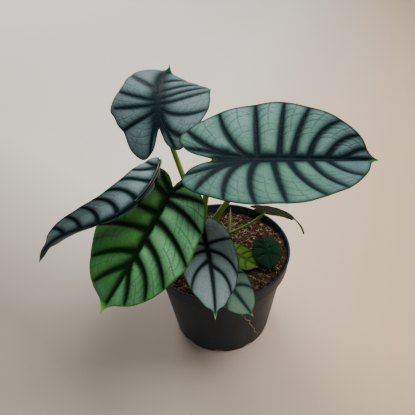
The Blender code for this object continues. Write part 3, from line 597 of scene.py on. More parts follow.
def buildBlade(name):
    leaf, shape = {**bladeUsual, **blades[name]}, relief
    length = leaf["length"] * mm
    place = jointPlace(name, leaf)
    x, y = bladeGrid(leaf, leaf["fineRows"], leaf["fineSteps"], 16, fine=True)
    middle, normal = grown(leaf, x, y) + place, upSide(leaf, x, y)
    pointed = np.clip((x / length - 0.86) / 0.14, 0, 1)
    middle[..., 2] += leaf["tipLift"] * mm * pointed**2
    flat = np.stack([x.ravel(), y.ravel()], 1)
    wide = leaf["veinWidth"] * mm
    midrib = np.stack([np.linspace(-leaf["sinus"] * length, 0.985 * length, 40), np.zeros(40)], 1)
    ribWide = np.array(veinShape["midrib"]) * wide * leaf["ribWide"]
    ribWidths = np.interp(midrib[:, 0] / length, (-leaf["sinus"], 0, 0.3, 1), ribWide)
    main, plain = nearLine(flat, midrib, ribWidths)
    fine, rim = np.full((2, len(flat)), farOff)
    for side, half, line in ((1, leaf["left"], 0), (-1, leaf["right"] or leaf["left"], -1)):
        mine = flat[:, 1] * side >= 0
        mainLines, fineLines = veinLines(leaf, half, side)
        for points, widths in mainLines:
            near, gap = nearLine(flat[mine], points, widths)
            main[mine], plain[mine] = np.minimum(main[mine], near), np.minimum(plain[mine], gap)
        for points, widths in fineLines:
            near, _ = nearLine(flat[mine], points, widths)
            fine[mine] = np.minimum(fine[mine], near)
        edge = np.stack([x[line, ::3], y[line, ::3]], 1)
        rim[mine] = nearLine(flat[mine], edge, np.ones(len(edge)))[1]
    mainVein, fineVein = np.exp(-0.9 * main**2), np.exp(-fine**2)
    panel = 1 - np.exp(-(plain / (shape["panelWide"] * wide))**shape["panelPower"])
    nearRim = np.exp(-(rim / (leaf["rimWidth"] * mm))**2)
    fade = np.clip(rim / (shape["rimFade"] * mm), 0, 1)
    swell = 1 - np.exp(-(plain / (shape["swellWide"] * wide))**shape["swellPower"])
    crease = shape["veinCrease"] * mainVein + shape["fineCrease"] * fineVein
    rise = (leaf["pucker"] * mm * (swell - crease) * (0.4 + 0.6 * fade)).reshape(x.shape)
    thin = (shape["edge"] + shape["body"] * fade).reshape(x.shape) * mm
    thin = thin + leaf["tipThick"] * mm * np.clip((x / length - 1 + 1.2 * leaf["tip"]) / leaf["tip"], 0, 1)
    rib = (mainVein * fade).reshape(x.shape) * shape["ribDepth"] * wide
    top = middle + normal * (rise + thin)[..., None]
    under = middle + normal * (rise - thin - rib)[..., None]
    lines, columns = x.shape
    count = lines * columns
    faces = gridFaces(lines, columns) + gridFaces(lines, columns, count, turnOver=True)
    for line in (0, lines - 1):
        a = line * columns + np.arange(columns - 1)
        wall = np.stack([a, a + 1, a + 1 + count, a + count], 1)
        faces += (wall[:, ::-1] if line == 0 else wall).tolist()
    values = {"mainVein": mainVein, "fineVein": fineVein, "panel": panel, "margin": nearRim,
              "along": np.clip(flat[:, 0] / length, 0, 1), "flatX": flat[:, 0], "flatY": flat[:, 1]}
    values = {label: np.r_[numbers, numbers] for label, numbers in values.items()}
    values["under"] = np.r_[np.zeros(count), np.ones(count)]
    piece = pieceName(name)
    meshPiece(piece, np.vstack([top.reshape(-1, 3), under.reshape(-1, 3)]), faces,
              leafMaterial(piece + "Skin", looks[name]), name, values)
    return leaf, place


grownBlades = {name: buildBlade(name) for name in blades}
print("blades", len(grownBlades))

# the pot: radii and heights in millimetres; the drain holes and foot notches are cut through it
potShape = dict(footRadius=45, wall=0.9, collar=13, step=1.6, lip=0.7, lipHeight=1.4, draft=0.6, ease=0.4,
                ring=4, floorRise=3.5, floorThick=1.5, pad=13, holes=8, holeRadius=3.2, holeRing=30,
                notches=10, notchWidth=9, notchHeight=3, notchTurn=0.3, neck=0.7, sides=220)


def turned(profile, sides):
    # a closed (radius, height) profile in metres turned round the upright axis
    profile = np.asarray(profile)
    angle = np.linspace(0, math.tau, sides, endpoint=False)[:, None]
    points = np.stack([np.cos(angle) * profile[:, 0], np.sin(angle) * profile[:, 0],
                       np.broadcast_to(profile[:, 1], (sides, len(profile)))], -1).reshape(-1, 3)
    count = len(profile)
    faces = []
    for step in range(sides):
        here, there = step * count, (step + 1) % sides * count
        for ring in range(count):
            after = (ring + 1) % count
            faces.append((here + ring, there + ring, there + after, here + after))
    return points, faces


def rounded(profile, radii, steps=5):
    # a closed profile with each corner that has a radius turned into an arc
    count, made = len(profile), []
    for number, (corner, radius) in enumerate(zip(profile, radii)):
        corner = np.array(corner, float)
        if not radius:
            made.append(corner)
            continue
        before = np.array(profile[number - 1]) - corner
        after = np.array(profile[(number + 1) % count]) - corner
        start = corner + before / np.linalg.norm(before) * radius
        end = corner + after / np.linalg.norm(after) * radius
        for share in np.linspace(0, 1, steps):
            made.append((1 - share)**2 * start + 2 * share * (1 - share) * corner + share**2 * end)
    return np.array(made)


def outerWall(height):
    top = rimRadius / mm - potShape["lip"] - potShape["step"] - potShape["neck"]
    return potShape["footRadius"] + (top - potShape["footRadius"]) * height / (rimHeight / mm)


def innerWall(height):
    return outerWall(height) - potShape["wall"]


def solidMesh(name, points, faces):
    mesh = bpy.data.meshes.new(name)
    mesh.from_pydata(np.asarray(points).tolist(), [], faces)
    shape = bmesh.new()
    shape.from_mesh(mesh)
    bmesh.ops.remove_doubles(shape, verts=shape.verts, dist=0.002 * mm)
    bmesh.ops.recalc_face_normals(shape, faces=shape.faces)
    shape.to_mesh(mesh)
    shape.free()
    return linked(name, mesh)


def plasticMaterial():
    material, tree, shader = newMaterial("potPlastic")
    place = node(tree, "TexCoord").outputs["Object"]
    tall = node(tree, "Mapping")
    tall.inputs["Scale"].default_value = (1, 1, 0.12)
    tree.links.new(place, tall.inputs["Vector"])
    cloud = noiseValue(tree, 34, 4, place)
    streak = noiseValue(tree, 160, 3, tall.outputs[0])
    grain = noiseValue(tree, 2600, 2, place)
    tone = mixColour(tree, stretch(tree, cloud, 0.35, 0.7), (0.0205, 0.0265, 0.036), (0.0235, 0.029, 0.038))
    tone = tinted(tree, tone, (0.015, 0.014, 0.0135), streak, 0.52, 0.8, 0.5)
    # dry dust towards the foot
    height = node(tree, "SeparateXYZ")
    tree.links.new(place, height.inputs[0])
    low = stretch(tree, height.outputs[2], 0.02, 0.0)
    dust = mathNode(tree, "MULTIPLY", low, stretch(tree, grain, 0.4, 0.7))
    tone = mixColour(tree, mathNode(tree, "MULTIPLY", dust, 0.35), tone, (0.05, 0.042, 0.034))
    roughness = stretch(tree, cloud, 0.3, 0.7, 0.4, 0.52)
    dress(tree, shader, tone, roughness, 0.1, bump(tree, grain, 0.12, 0.0002))
    return material


def buildPot():
    shape = potShape
    floorTop = shape["floorRise"] + shape["floorThick"]
    top, foot = rimHeight / mm, shape["footRadius"]
    collarBase, collarRadius = top - shape["collar"], rimRadius / mm - shape["lip"]
    inside = collarRadius - shape["draft"] - shape["wall"]
    # each corner as (radius, height), with the radius of its own rounding
    corners = [
        ((0, 0), 0),
        ((shape["pad"], 0), 0.6),
        ((shape["pad"] + 1, shape["floorRise"]), 0.6),
        ((foot - shape["ring"] - 1, shape["floorRise"]), 0.6),
        ((foot - shape["ring"], 0), 0.5),
        ((foot, 0), 0.8),
        ((outerWall(collarBase - shape["step"]), collarBase - shape["step"]), 0.5),
        ((collarRadius - shape["draft"], collarBase), 0.6),
        ((collarRadius, top - shape["lipHeight"]), 0.3),
        ((rimRadius / mm, top - shape["lipHeight"] + 0.3), 0.4),
        ((rimRadius / mm, top), 0.6),
        ((collarRadius - shape["wall"], top), 0.5),
        ((inside, collarBase + shape["ease"]), 0.4),
        ((innerWall(collarBase - shape["step"]), collarBase - shape["step"]), 0.4),
        ((innerWall(floorTop + 2), floorTop + 2), 0.6),
        ((innerWall(floorTop) - 2, floorTop), 0.6),
        ((0, floorTop), 0),
    ]
    profile = rounded(*zip(*corners)) * mm
    pot = solidMesh("pottedPot", *turned(profile, shape["sides"]))
    cutters = []
    for number in range(shape["holes"]):
        centre = bearing(360 * (number + 0.5) / shape["holes"]) * shape["holeRing"] * mm
        reach = shape["holeRadius"] * mm
        deep = 2 * floorTop * mm
        points, faces = turned([(0, -mm), (reach, -mm), (reach, deep), (0, deep)], 40)
        cutters.append(solidMesh("holeCutter%d" % number, points + (*centre, 0), faces))
    for number in range(shape["notches"]):
        out = bearing(360 * (number + shape["notchTurn"]) / shape["notches"])
        across = np.array((-out[1], out[0]))
        points = []
        for height, width in ((-1, shape["notchWidth"] + 2), (shape["notchHeight"], shape["notchWidth"] - 2)):
            for reach in (foot - 1.8 * shape["ring"], foot + 3):
                for half in (-width / 2, width / 2):
                    points.append((*(out * reach + across * half) * mm, height * mm))
        faces = [(0, 1, 3, 2), (4, 6, 7, 5), (0, 4, 5, 1), (2, 3, 7, 6), (0, 2, 6, 4), (1, 5, 7, 3)]
        cutters.append(solidMesh("notchCutter%d" % number, points, faces))
    for cutter in cutters:
        modifier = pot.modifiers.new(cutter.name, "BOOLEAN")
        modifier.operation, modifier.object = "DIFFERENCE", cutter
    bpy.context.view_layer.update()
    mesh = bpy.data.meshes.new_from_object(pot.evaluated_get(bpy.context.evaluated_depsgraph_get()))
    for made in [pot, *cutters]:
        bpy.data.objects.remove(made)
    mesh.materials.clear()
    mesh.materials.append(plasticMaterial())
    mesh.shade_smooth()
    mesh.set_sharp_from_angle(angle=math.radians(32))
    piece = linked("nurseryPot", mesh)
    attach(piece, "root")
    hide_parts("pot")


buildPot()
print("pot")

# the potting mix: its surface follows the same mound and lumps as the CAD, with crumbs and fibres on it
mixShape = dict(belowRim=8, frontRise=3, mound=2, lump=0.7, heap=2.6, dip=1.5, gap=0.3, rings=120, sides=300,
                crumbs=2600, crumbSize=(0.45, 2.3), crumbKinds=(0.05, 0.2, 0.45, 0.62),
                crumbOdds=(0.35, 0.3, 0.23, 0.12), fibres=1900, fibreLength=(2.5, 10.0),
                fibreRadius=(0.14, 0.32), fibreKinds=(0.35, 0.7, 0.95), fibreOdds=(0.4, 0.35, 0.25),
                grit=((190, 0.55), (420, 0.4), (900, 0.28), (1700, 0.16)), gritHeight=0.42)
soilLevel = rimHeight - mixShape["belowRim"] * mm


def soilHeight(x, y):
    reach, shape = np.hypot(x, y) / rimRadius, mixShape
    lumps = np.sin(x * 310 + 1) * np.sin(y * 270 + 2) + 0.6 * np.sin(x * 520 - y * 430)
    front = np.clip(-y / rimRadius, 0, 1)
    mound = shape["mound"] * (1 - reach**2) + shape["frontRise"] * front**2
    return soilLevel + (mound + shape["lump"] * lumps) * mm


def rough(x, y):
    # a crumbly height in metres
    total = np.zeros(np.shape(x))
    for octave, (scale, deep) in enumerate(mixShape["grit"]):
        for turn in range(4):
            east, north = bearing(47 * turn + 31 * octave)
            ahead, aside = (x * east + y * north) * scale, (y * east - x * north) * scale
            total += deep * np.sin(ahead * (1 + 0.17 * turn) + 5 * np.sin(aside * 0.6 + turn))
    return total * mixShape["gritHeight"] * mm


def mixMaterial():
    material, tree, shader = newMaterial("mixSkin")
    place = node(tree, "TexCoord").outputs["Object"]
    coarse, grain = noiseValue(tree, 260, 5, place, 0.65), noiseValue(tree, 1500, 4, place, 0.7)
    patch = noiseValue(tree, 42, 3, place)
    tone = mixColour(tree, stretch(tree, coarse, 0.36, 0.66), (0.007, 0.0035, 0.002), (0.065, 0.04, 0.022))
    tone = tinted(tree, tone, (0.045, 0.02, 0.01), patch, 0.4, 0.62, 0.5)
    tone = tinted(tree, tone, (0.16, 0.115, 0.07), grain, 0.55, 0.75, 0.65)
    spot = node(tree, "SeparateXYZ")
    tree.links.new(place, spot.inputs[0])
    tone = tinted(tree, tone, (0.016, 0.006, 0.004), spot.outputs[1], 0.0, 0.04, 0.7)  # painted shade: darker towards the back, where the leaves shade the mix
    kind = attribute(tree, "kind")
    tone = tinted(tree, tone, (0.05, 0.028, 0.014), kind, 0.0, 0.45, 0.8)
    tone = tinted(tree, tone, (0.42, 0.32, 0.2), kind, 0.5, 1.0)
    height = mathNode(tree, "ADD", coarse, mathNode(tree, "MULTIPLY", grain, 0.4))
    dress(tree, shader, tone, 0.9, 0.15, bump(tree, height, 0.8, 0.0012))
    return material


def mixSurface(x, y):
    # the CAD's surface, heaped towards the pot's right and front and lower at the back
    heap = mixShape["heap"] * np.clip((x - 0.5 * y) / rimRadius, 0, 1)
    heap = heap - mixShape["dip"] * np.clip(y / rimRadius, 0, 1)
    return soilHeight(x, y) + heap * mm + rough(x, y)


def scattered(count, random, reach):
    # places spread evenly over the disc, with the surface's height there
    radius = reach * np.sqrt(random.random(count))
    angle = random.random(count) * math.tau
    x, y = np.cos(angle) * radius, np.sin(angle) * radius
    return np.stack([x, y, mixSurface(x, y)], 1)


def buildMix():
    shape, random = mixShape, np.random.default_rng(23)
    collarBase = rimHeight / mm - potShape["collar"]
    floorTop = potShape["floorRise"] + potShape["floorThick"]
    gap, bend = shape["gap"], 2
    edge = rimRadius / mm - potShape["lip"] - potShape["draft"] - potShape["wall"] - gap
    # the bed's side and bottom as (radius, height), a gap away from the pot's inside
    below = [(0, floorTop + gap), (innerWall(floorTop) - bend - gap, floorTop + gap),
             (innerWall(floorTop + bend) - gap, floorTop + bend + gap),
             (innerWall(collarBase - potShape["step"]) - gap, collarBase - potShape["step"]),
             (edge, collarBase + potShape["ease"] + gap)]
    angle = np.linspace(0, math.tau, shape["sides"], endpoint=False)
    radii = edge * mm * np.sqrt(np.linspace(1, 0, shape["rings"]))
    x, y = np.cos(angle)[:, None] * radii, np.sin(angle)[:, None] * radii
    topPoints = np.stack([x, y, mixSurface(x, y)], -1)
    lowPoints = np.array([[(math.cos(turn) * radius, math.sin(turn) * radius, height)
                           for radius, height in below] for turn in angle]) * mm
    body = np.concatenate([lowPoints, topPoints], 1)
    count = body.shape[1]
    points, faces, kinds = [body.reshape(-1, 3)], [], [np.zeros(body.shape[0] * count)]
    for step in range(shape["sides"]):
        here, there = step * count, (step + 1) % shape["sides"] * count
        faces += [(here + i, there + i, there + i + 1, here + i + 1) for i in range(count - 1)]
    total = len(points[0])
    # a crumb is a squashed ball of twenty triangles
    golden = (1 + math.sqrt(5)) / 2
    corners = np.array([(-1, golden, 0), (1, golden, 0), (-1, -golden, 0), (1, -golden, 0)])
    ball = np.vstack([np.roll(corners, turn, axis=1) for turn in range(3)]) / 1.9
    ballFaces = np.array([(0, 11, 5), (0, 5, 1), (0, 1, 7), (0, 7, 10), (0, 10, 11), (1, 5, 9), (5, 11, 4),
                          (11, 10, 2), (10, 7, 6), (7, 1, 8), (3, 9, 4), (3, 4, 2), (3, 2, 6), (3, 6, 8),
                          (3, 8, 9), (4, 9, 5), (2, 4, 11), (6, 2, 10), (8, 6, 7), (9, 8, 1)])
    for spot in scattered(shape["crumbs"], random, (edge - 1) * mm):
        low, high = shape["crumbSize"]
        size = (low + (high - low) * random.random()**3) * mm
        turn = np.linalg.qr(random.normal(size=(3, 3)))[0]
        turn *= np.sign(np.linalg.det(turn))
        crumb = (ball * (0.75 + 0.5 * random.random((12, 1)))) * (1, 0.8, 0.6) * size @ turn
        points.append(crumb + spot + (0, 0, size * 0.2))
        faces += (ballFaces + total).tolist()
        kinds.append(np.full(12, random.choice(shape["crumbKinds"], p=shape["crumbOdds"])))
        total += 12
    # a fibre is a three-sided thread of six rings
    ringFaces = np.array(gridFaces(6, 3, closed=True))
    for spot in scattered(shape["fibres"], random, (edge - 3) * mm):
        low, high = shape["fibreLength"]
        long = (low + (high - low) * random.random()**2) * mm
        thick = random.uniform(*shape["fibreRadius"]) * mm
        heading, bend = random.random() * math.tau, random.normal() * 1.1
        angles = heading + bend * np.linspace(-0.5, 0.5, 6)
        climb = np.full(6, random.normal() * 0.12)
        path = np.stack([np.cos(angles), np.sin(angles), climb], 1).cumsum(0) * long / 6
        path = path - path.mean(0) + spot
        inside = np.hypot(path[:, 0], path[:, 1]) < (edge - 0.5) * mm
        if not inside.all():
            continue
        ground = mixSurface(path[:, 0], path[:, 1]) + 0.2 * mm
        path[:, 2] = np.maximum(path[:, 2] + 0.3 * mm, ground)
        aside = np.stack([-np.sin(angles), np.cos(angles), np.zeros(6)], 1)
        upward = np.broadcast_to((0, 0, 1.0), aside.shape)
        taper = thick * np.array((0.5, 1, 1.1, 1, 0.8, 0.4))[:, None]
        rings = []
        for turn in (0.5, 2.6, 4.7):
            rings.append(path + taper * (math.cos(turn) * aside + math.sin(turn) * upward))
        points.append(np.stack(rings, 1).reshape(-1, 3))
        faces += (ringFaces + total).tolist()
        faces += [(total + 2, total + 1, total), (total + 15, total + 16, total + 17)]
        kinds.append(np.full(18, random.choice(shape["fibreKinds"], p=shape["fibreOdds"])))
        total += 18
    meshPiece("pottingMixBed", np.vstack(points), faces, mixMaterial(), "potting_mix",
              {"kind": np.concatenate(kinds)})


buildMix()
print("potting mix")


def ringed(path, radius, sides, section=None):
    # a tube along a path; section gives each side's share of the radius, per ring
    steps = np.gradient(path, axis=0)
    steps /= np.linalg.norm(steps, axis=1, keepdims=True)
    across = np.cross(steps[0], (0.3, 1, 0.2))
    points = []
    angle = np.linspace(0, math.tau, sides, endpoint=False)
    for number, (centre, ahead) in enumerate(zip(path, steps)):
        across = across - ahead * (across @ ahead)
        across /= np.linalg.norm(across)
        other = np.cross(ahead, across)
        reach = radius[number] * (section[number] if section is not None else np.ones(sides))
        east, north = (np.cos(angle) * reach)[:, None], (np.sin(angle) * reach)[:, None]
        points.append(centre + east * across + north * other)
    ends = [tuple(range(sides))[::-1], tuple(range((len(path) - 1) * sides, len(path) * sides))]
    return np.vstack(points), ends + gridFaces(len(path), sides, closed=True)


def curve(start, after, before, end, count):
    share = np.linspace(0, 1, count)[:, None]
    rest = 1 - share
    return rest**3 * start + 3 * rest**2 * share * after + 3 * rest * share**2 * before + share**3 * end


# low is the colour at the foot, high at the top, dark that of clouds and specks, pale that of the fine lines
stemLooks = {
    "stemSkin": dict(low=(0.13, 0.29, 0.025), high=(0.17, 0.3, 0.02), dark=(0.06, 0.16, 0.01),
                     pale=(0.3, 0.46, 0.1)),
    "sheathSkin": dict(low=(0.17, 0.22, 0.08), high=(0.3, 0.36, 0.17), dark=(0.13, 0.17, 0.05),
                       pale=(0.42, 0.46, 0.27)),
    "rootHairSkin": dict(low=(0.3, 0.27, 0.22), high=(0.36, 0.32, 0.26), dark=(0.16, 0.13, 0.09),
                         pale=(0.5, 0.46, 0.4)),
}


def stemMaterial(name):
    material, tree, shader = newMaterial(name)
    look = stemLooks[name]
    along, around = attribute(tree, "along"), attribute(tree, "around")
    streaked = node(tree, "CombineXYZ")
    tree.links.new(mathNode(tree, "MULTIPLY", around, 9.0), streaked.inputs[0])
    tree.links.new(mathNode(tree, "MULTIPLY", along, 3.0), streaked.inputs[1])
    streak = noiseValue(tree, 3.0, 4, streaked.outputs[0], 0.6)
    cloud, speck = noiseValue(tree, 120, 3), noiseValue(tree, 1400, 3, roughness=0.7)
    tone = mixColour(tree, along, look["low"], look["high"])
    tone = tinted(tree, tone, look["dark"], cloud, 0.35, 0.7, 0.6)
    tone = tinted(tree, tone, look["pale"], streak, 0.5, 0.72, 0.55)
    tone = tinted(tree, tone, look["dark"], speck, 0.58, 0.75, 0.4)
    roughness = stretch(tree, speck, 0.3, 0.7, 0.36, 0.5)
    dress(tree, shader, tone, roughness, 0.3, bump(tree, streak, 0.25, 0.0004))
    return material


# place, radius, rise and depth in millimetres
crowns = {"crown": ((-14, 12), 9, 4, 14), "side_crown": ((7, 17), 4.5, 2, 7),
          "seedling_crown": (tuple(24 * bearing(-8)), 4, 2, 7)}

# radii at the foot and under the blade; foot is a share of the crown's radius and a bearing; rise and arrive
# bend the curve at its ends; behind and drop set the end back along the midrib and further down
petioles = {
    "back_petiole": dict(
        blade="back_blade", crown="crown", radii=(2.6, 1.9), foot=(0.6, 120), rise=(-3, 0, 40),
        arrive=(8, -4, -45)),
    "right_petiole": dict(
        blade="right_blade", crown="crown", radii=(2.6, 1.9), foot=(0.6, 20), rise=(6, -8, 40),
        arrive=(-14, 4, -40)),
    "left_petiole": dict(
        blade="left_blade", crown="crown", radii=(1.9, 0.9), foot=(0.6, 180), rise=(-29, 6, 52),
        arrive=(-7, 29, -35), behind=11),
    "front_left_petiole": dict(
        blade="front_left_blade", crown="crown", radii=(2.1, 1.4), foot=(0.6, 235), rise=(-6, -8, 30),
        arrive=(10, 12, -25)),
    "front_petiole": dict(
        blade="front_blade", crown="crown", radii=(1.6, 1.1), foot=(0.6, 290), rise=(0, -10, 20),
        arrive=(2, 14, -16)),
    "low_front_petiole": dict(
        blade="low_front_blade", crown="crown", radii=(1.4, 1.0), foot=(0.6, 335), rise=(4, -6, 14),
        arrive=(-4, 14, -8)),
    "rear_petiole": dict(
        blade="rear_blade", crown="side_crown", radii=(1.4, 1.0), foot=(0.4, 200), rise=(6, -10, 14),
        arrive=(-6, -4, -9)),
    "dark_seedling_petiole": dict(
        blade="dark_seedling_blade", crown="seedling_crown", radii=(0.9, 0.7), foot=(0.5, 10),
        rise=(2, -1, 3), arrive=(-4, 2, -3)),
    "lime_seedling_petiole": dict(
        blade="lime_seedling_blade", crown="seedling_crown", radii=(0.9, 0.7), foot=(0.5, 190),
        rise=(-3, 0, 0.6), arrive=(3, 0, -1), drop=0.3),
}

spikes = {
    "rolled_new_leaf": dict(crown="crown", foot=(0, 0), tip=(14, -18, 106), bow=(-4, 4, 0),
                            radius=2.6, belly=0.62, footRadius=1.9, step=0.16),
    "tall_sheath": dict(crown="side_crown", foot=(0.45, 30), tip=(2, 6, 26), bow=(0, 0, 0),
                        radius=1.7, belly=0.2, footRadius=1.5, step=0.1),
    "short_sheath": dict(crown="side_crown", foot=(0.6, 120), tip=(-3, 4, 11), bow=(0, 0, 0),
                         radius=1.1, belly=0.2, footRadius=1.0, step=0.1),
}


footClear = 0.6  # lift of a foot over its crown, in millimetres


def footOn(crown, foot, footRadius):
    place, radius, rise, _ = crowns[crown]
    share, degrees = foot
    spot = np.array(place) + bearing(degrees) * radius * share
    soil = soilHeight(*(np.array(place) * mm)) / mm
    height = soil + rise * math.sqrt(1 - share**2) + footClear + 0.7 * footRadius
    return np.array((*spot, height)) * mm


def sunk(path):
    # the path with a start that comes up out of the crown
    return np.vstack([path[0] - np.array((0, 0, 1)) * np.linspace(2.2, 0.4, 5)[:, None] * mm, path])


def tubeValues(rings, sides):
    return {"along": np.repeat(np.linspace(0, 1, rings), sides),
            "around": np.tile(abs(np.linspace(-1, 1, sides, endpoint=False)), rings)}


def buildPetiole(name, spec, material):
    footRadius, topRadius = (radius * mm for radius in spec["radii"])
    leaf, place = grownBlades[spec["blade"]]
    joint = np.array([-spec.get("behind", 0) * mm]), np.zeros(1)
    start = footOn(spec["crown"], spec["foot"], spec["radii"][0])
    normal = upSide(leaf, *joint)[0]
    lower = place + grown(leaf, *joint)[0] - normal * (1.2 * mm + 0.8 * topRadius + spec.get("drop", 0) * mm)
    path = curve(start, start + np.array(spec["rise"]) * mm, lower + np.array(spec["arrive"]) * mm, lower, 70)
    # a petiole behind a folded blade stops short of it, the others go on up against the underside
    if "behind" in spec:
        path = sunk(path[:-5])
    else:
        up = path[-1] + normal * np.linspace(0.2, 0.9, 4)[:, None] * 0.8 * topRadius
        path = np.vstack([sunk(path), up])
    share = np.linspace(0, 1, len(path))
    radius = footRadius + (topRadius - footRadius) * share
    radius = radius * (1 + 0.45 * np.exp(-share / 0.09)) * (1 + 0.12 * np.exp(-(1 - share) / 0.03))
    sides = 24
    angle = np.linspace(0, math.tau, sides, endpoint=False)
    groove = 1 - 0.2 * np.exp(-((angle - math.pi) / 0.45)**2)
    section = np.outer(np.exp(-share / 0.3), groove) + np.outer(1 - np.exp(-share / 0.3), np.ones(sides))
    points, faces = ringed(path, radius, sides, section)
    meshPiece(pieceName(name), points, faces, material, name, tubeValues(len(path), sides))


def buildSpike(name, spec, material):
    start = footOn(spec["crown"], spec["foot"], spec["footRadius"])
    end, bow = start + np.array(spec["tip"]) * mm, np.array(spec["bow"]) * mm
    path = sunk(curve(start, start + (end - start) / 3 + bow, start + (end - start) * 2 / 3 + bow, end, 80))
    share = np.linspace(0, 1, len(path))
    belly = spec["radius"] * mm
    radius = np.interp(share, (0, spec["belly"], (1 + spec["belly"]) / 2, 1),
                       (spec["footRadius"] * mm, belly, belly * 0.75, 0.1 * mm))
    sides = 28
    # the rolled edge shows as a step that climbs round the spindle
    turn = (np.linspace(0, 1, sides, endpoint=False)[None] + share[:, None] * 0.7) % 1
    section = 1 + spec["step"] * (0.5 - turn)
    points, faces = ringed(path, radius, sides, section)
    meshPiece(pieceName(name), points, faces, material, name, tubeValues(len(path), sides))


def buildCrown(name, spec, material):
    (x, y), radius, rise, depth = spec
    level = soilHeight(x * mm, y * mm)
    rings, sides = 40, 60
    down = np.linspace(math.pi, 0, rings)[:, None]
    around = np.linspace(0, math.tau, sides, endpoint=False)
    scale = 1 + 0.05 * np.sin(down * 9) + 0.03 * np.sin(around * 7 + down * 5) * np.sin(down)
    tall = np.where(np.cos(down) > 0, rise, depth)
    points = np.stack([x * mm + np.sin(down) * np.cos(around) * radius * scale * mm,
                       y * mm + np.sin(down) * np.sin(around) * radius * scale * mm,
                       level + np.cos(down) * tall * mm * np.ones(sides)], -1).reshape(-1, 3)
    meshPiece(pieceName(name) + "Corm", points, gridFaces(rings, sides, closed=True), material, name)


# a pale root hair stuck to the pot's front, as (bearing in degrees, height in millimetres) from its top
rootHair = dict(radius=0.32, clear=0.1, rings=60, sides=6,
                route=((-74.4, 70), (-73.6, 60), (-70, 52), (-65, 44), (-58, 27), (-51, 14), (-47, 8)))


def buildRootHair(material):
    hair = rootHair
    bearings, heights = np.array(hair["route"], float).T
    share = np.linspace(0, 1, hair["rings"])
    knots = np.linspace(0, 1, len(bearings))
    turn, height = np.interp(share, knots, bearings), np.interp(share, knots, heights)
    turn = turn + 0.8 * np.sin(share * 31) + 0.5 * np.sin(share * 57)
    reach = (outerWall(height) + hair["clear"]) * mm
    path = np.stack([reach * np.cos(np.radians(turn)), reach * np.sin(np.radians(turn)), height * mm], 1)
    radius = hair["radius"] * mm * (1 - 0.6 * abs(2 * share - 0.9))
    points, faces = ringed(path, radius, hair["sides"])
    values = tubeValues(hair["rings"], hair["sides"])
    meshPiece("looseRootHair", points, faces, material, values=values)


def cormMaterial():
    material, tree, shader = newMaterial("cormBark")
    coarse, grain = noiseValue(tree, 300, 4), noiseValue(tree, 1600, 3)
    tone = mixColour(tree, stretch(tree, coarse, 0.35, 0.65), (0.02, 0.012, 0.005), (0.11, 0.075, 0.03))
    tone = tinted(tree, tone, (0.19, 0.14, 0.07), grain, 0.5, 0.75, 0.5)
    dress(tree, shader, tone, 0.8, 0.2, bump(tree, coarse, 0.6, 0.001))
    return material


stemSkin, sheathSkin, cormBark = stemMaterial("stemSkin"), stemMaterial("sheathSkin"), cormMaterial()
for name, spec in petioles.items():
    buildPetiole(name, spec, stemSkin)
for name, spec in spikes.items():
    isLeaf = name == "rolled_new_leaf"
    buildSpike(name, spec, stemSkin if isLeaf else sheathSkin)
for name, spec in crowns.items():
    buildCrown(name, spec, cormBark)
buildRootHair(stemMaterial("rootHairSkin"))
print("stems, sheaths and crowns")


studio = dict(floorReach=4, sky=(1.0, 0.98, 0.96), skyStrength=0.34)
lamps = {
    "keyLight": dict(spot=(0.42, 0.0, 1.1), aim=(0.03, 0.0, 0.05), size=0.7, power=19, colour=(1, 0.96, 0.9)),
    "backLight": dict(spot=(-0.6, 1.6, 1.2), aim=(-0.2, 0.7, 0), size=1.0, power=24, colour=(1, 0.99, 0.98)),
}


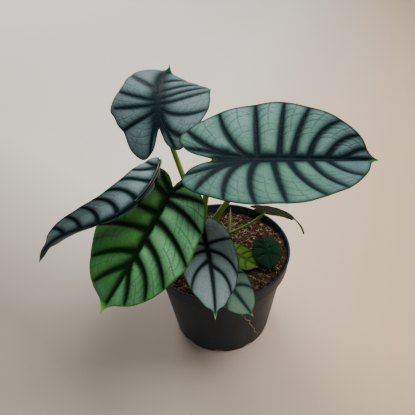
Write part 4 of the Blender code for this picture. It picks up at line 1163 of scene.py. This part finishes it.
def floorMaterial():
    # one pale tone to the left and a warmer one to the right, with a painted shadow of the plant that darkens
    # the floor towards the near left
    material, tree, shader = newMaterial("paleFloor")
    place = node(tree, "TexCoord").outputs["Object"]
    spot = node(tree, "SeparateXYZ")
    tree.links.new(place, spot.inputs[0])
    east, north = spot.outputs[0], spot.outputs[1]
    aside = mathNode(tree, "SUBTRACT", east, mathNode(tree, "MULTIPLY", north, 0.42))
    tone = mixColour(tree, stretch(tree, aside, -0.2, 0.19), (0.74, 0.69, 0.63), (0.57, 0.4, 0.25))
    # painted shadow: this mask darkens the floor towards the near left, where the plant's shadow falls
    near = mathNode(tree, "ADD", east, mathNode(tree, "MULTIPLY", north, 1.15))
    tone = tinted(tree, tone, (0.31, 0.27, 0.225), near, 0.1, -0.2)
    tone = tinted(tree, tone, (0.55, 0.5, 0.45), noiseValue(tree, 900, 3, place), 0.3, 0.7, 0.1)
    dress(tree, shader, tone, 0.9, 0.1)
    return material


def buildStage():
    mesh = bpy.data.meshes.new("floor")
    reach = studio["floorReach"]
    corners = [(-reach, -reach, 0), (reach, -reach, 0), (reach, reach, 0), (-reach, reach, 0)]
    mesh.from_pydata(corners, [], [(0, 1, 2, 3)])
    mesh.materials.append(floorMaterial())
    floor = linked("floor", mesh)
    world = bpy.data.worlds.new("studio")
    bpy.context.scene.world = world
    world.use_nodes = True
    sky = world.node_tree.nodes["Background"]
    sky.inputs["Color"].default_value = (*studio["sky"], 1)
    sky.inputs["Strength"].default_value = studio["skyStrength"]
    for name, lamp in lamps.items():
        light = bpy.data.lights.new(name, "AREA")
        light.energy, light.size, light.color = lamp["power"], lamp["size"], lamp["colour"]
        holder = linked(name, light)
        holder.location = lamp["spot"]
        towards = Vector(lamp["aim"]) - Vector(lamp["spot"])
        holder.rotation_euler = towards.to_track_quat("-Z", "Y").to_euler()


view = dict(place=(-0.0095, -0.2806, 0.3586), down=38.68, roll=-2.8, wide=50)


def buildCamera():
    down, roll = math.radians(view["down"]), math.radians(view["roll"])
    back = Vector((0, -math.cos(down), math.sin(down)))
    right = Vector((1, 0, 0))
    up = back.cross(right)
    across = right * math.cos(roll) + up * math.sin(roll)
    above = up * math.cos(roll) - right * math.sin(roll)
    camera = bpy.data.cameras.new("camera")
    camera.sensor_width = 36
    camera.angle = math.radians(view["wide"])
    camera.clip_start = 0.01
    holder = linked("camera", camera)
    turn = Matrix((across, above, back)).transposed().to_4x4()
    holder.matrix_world = Matrix.Translation(view["place"]) @ turn
    bpy.context.scene.camera = holder


buildStage()
buildCamera()
print("stage ready")
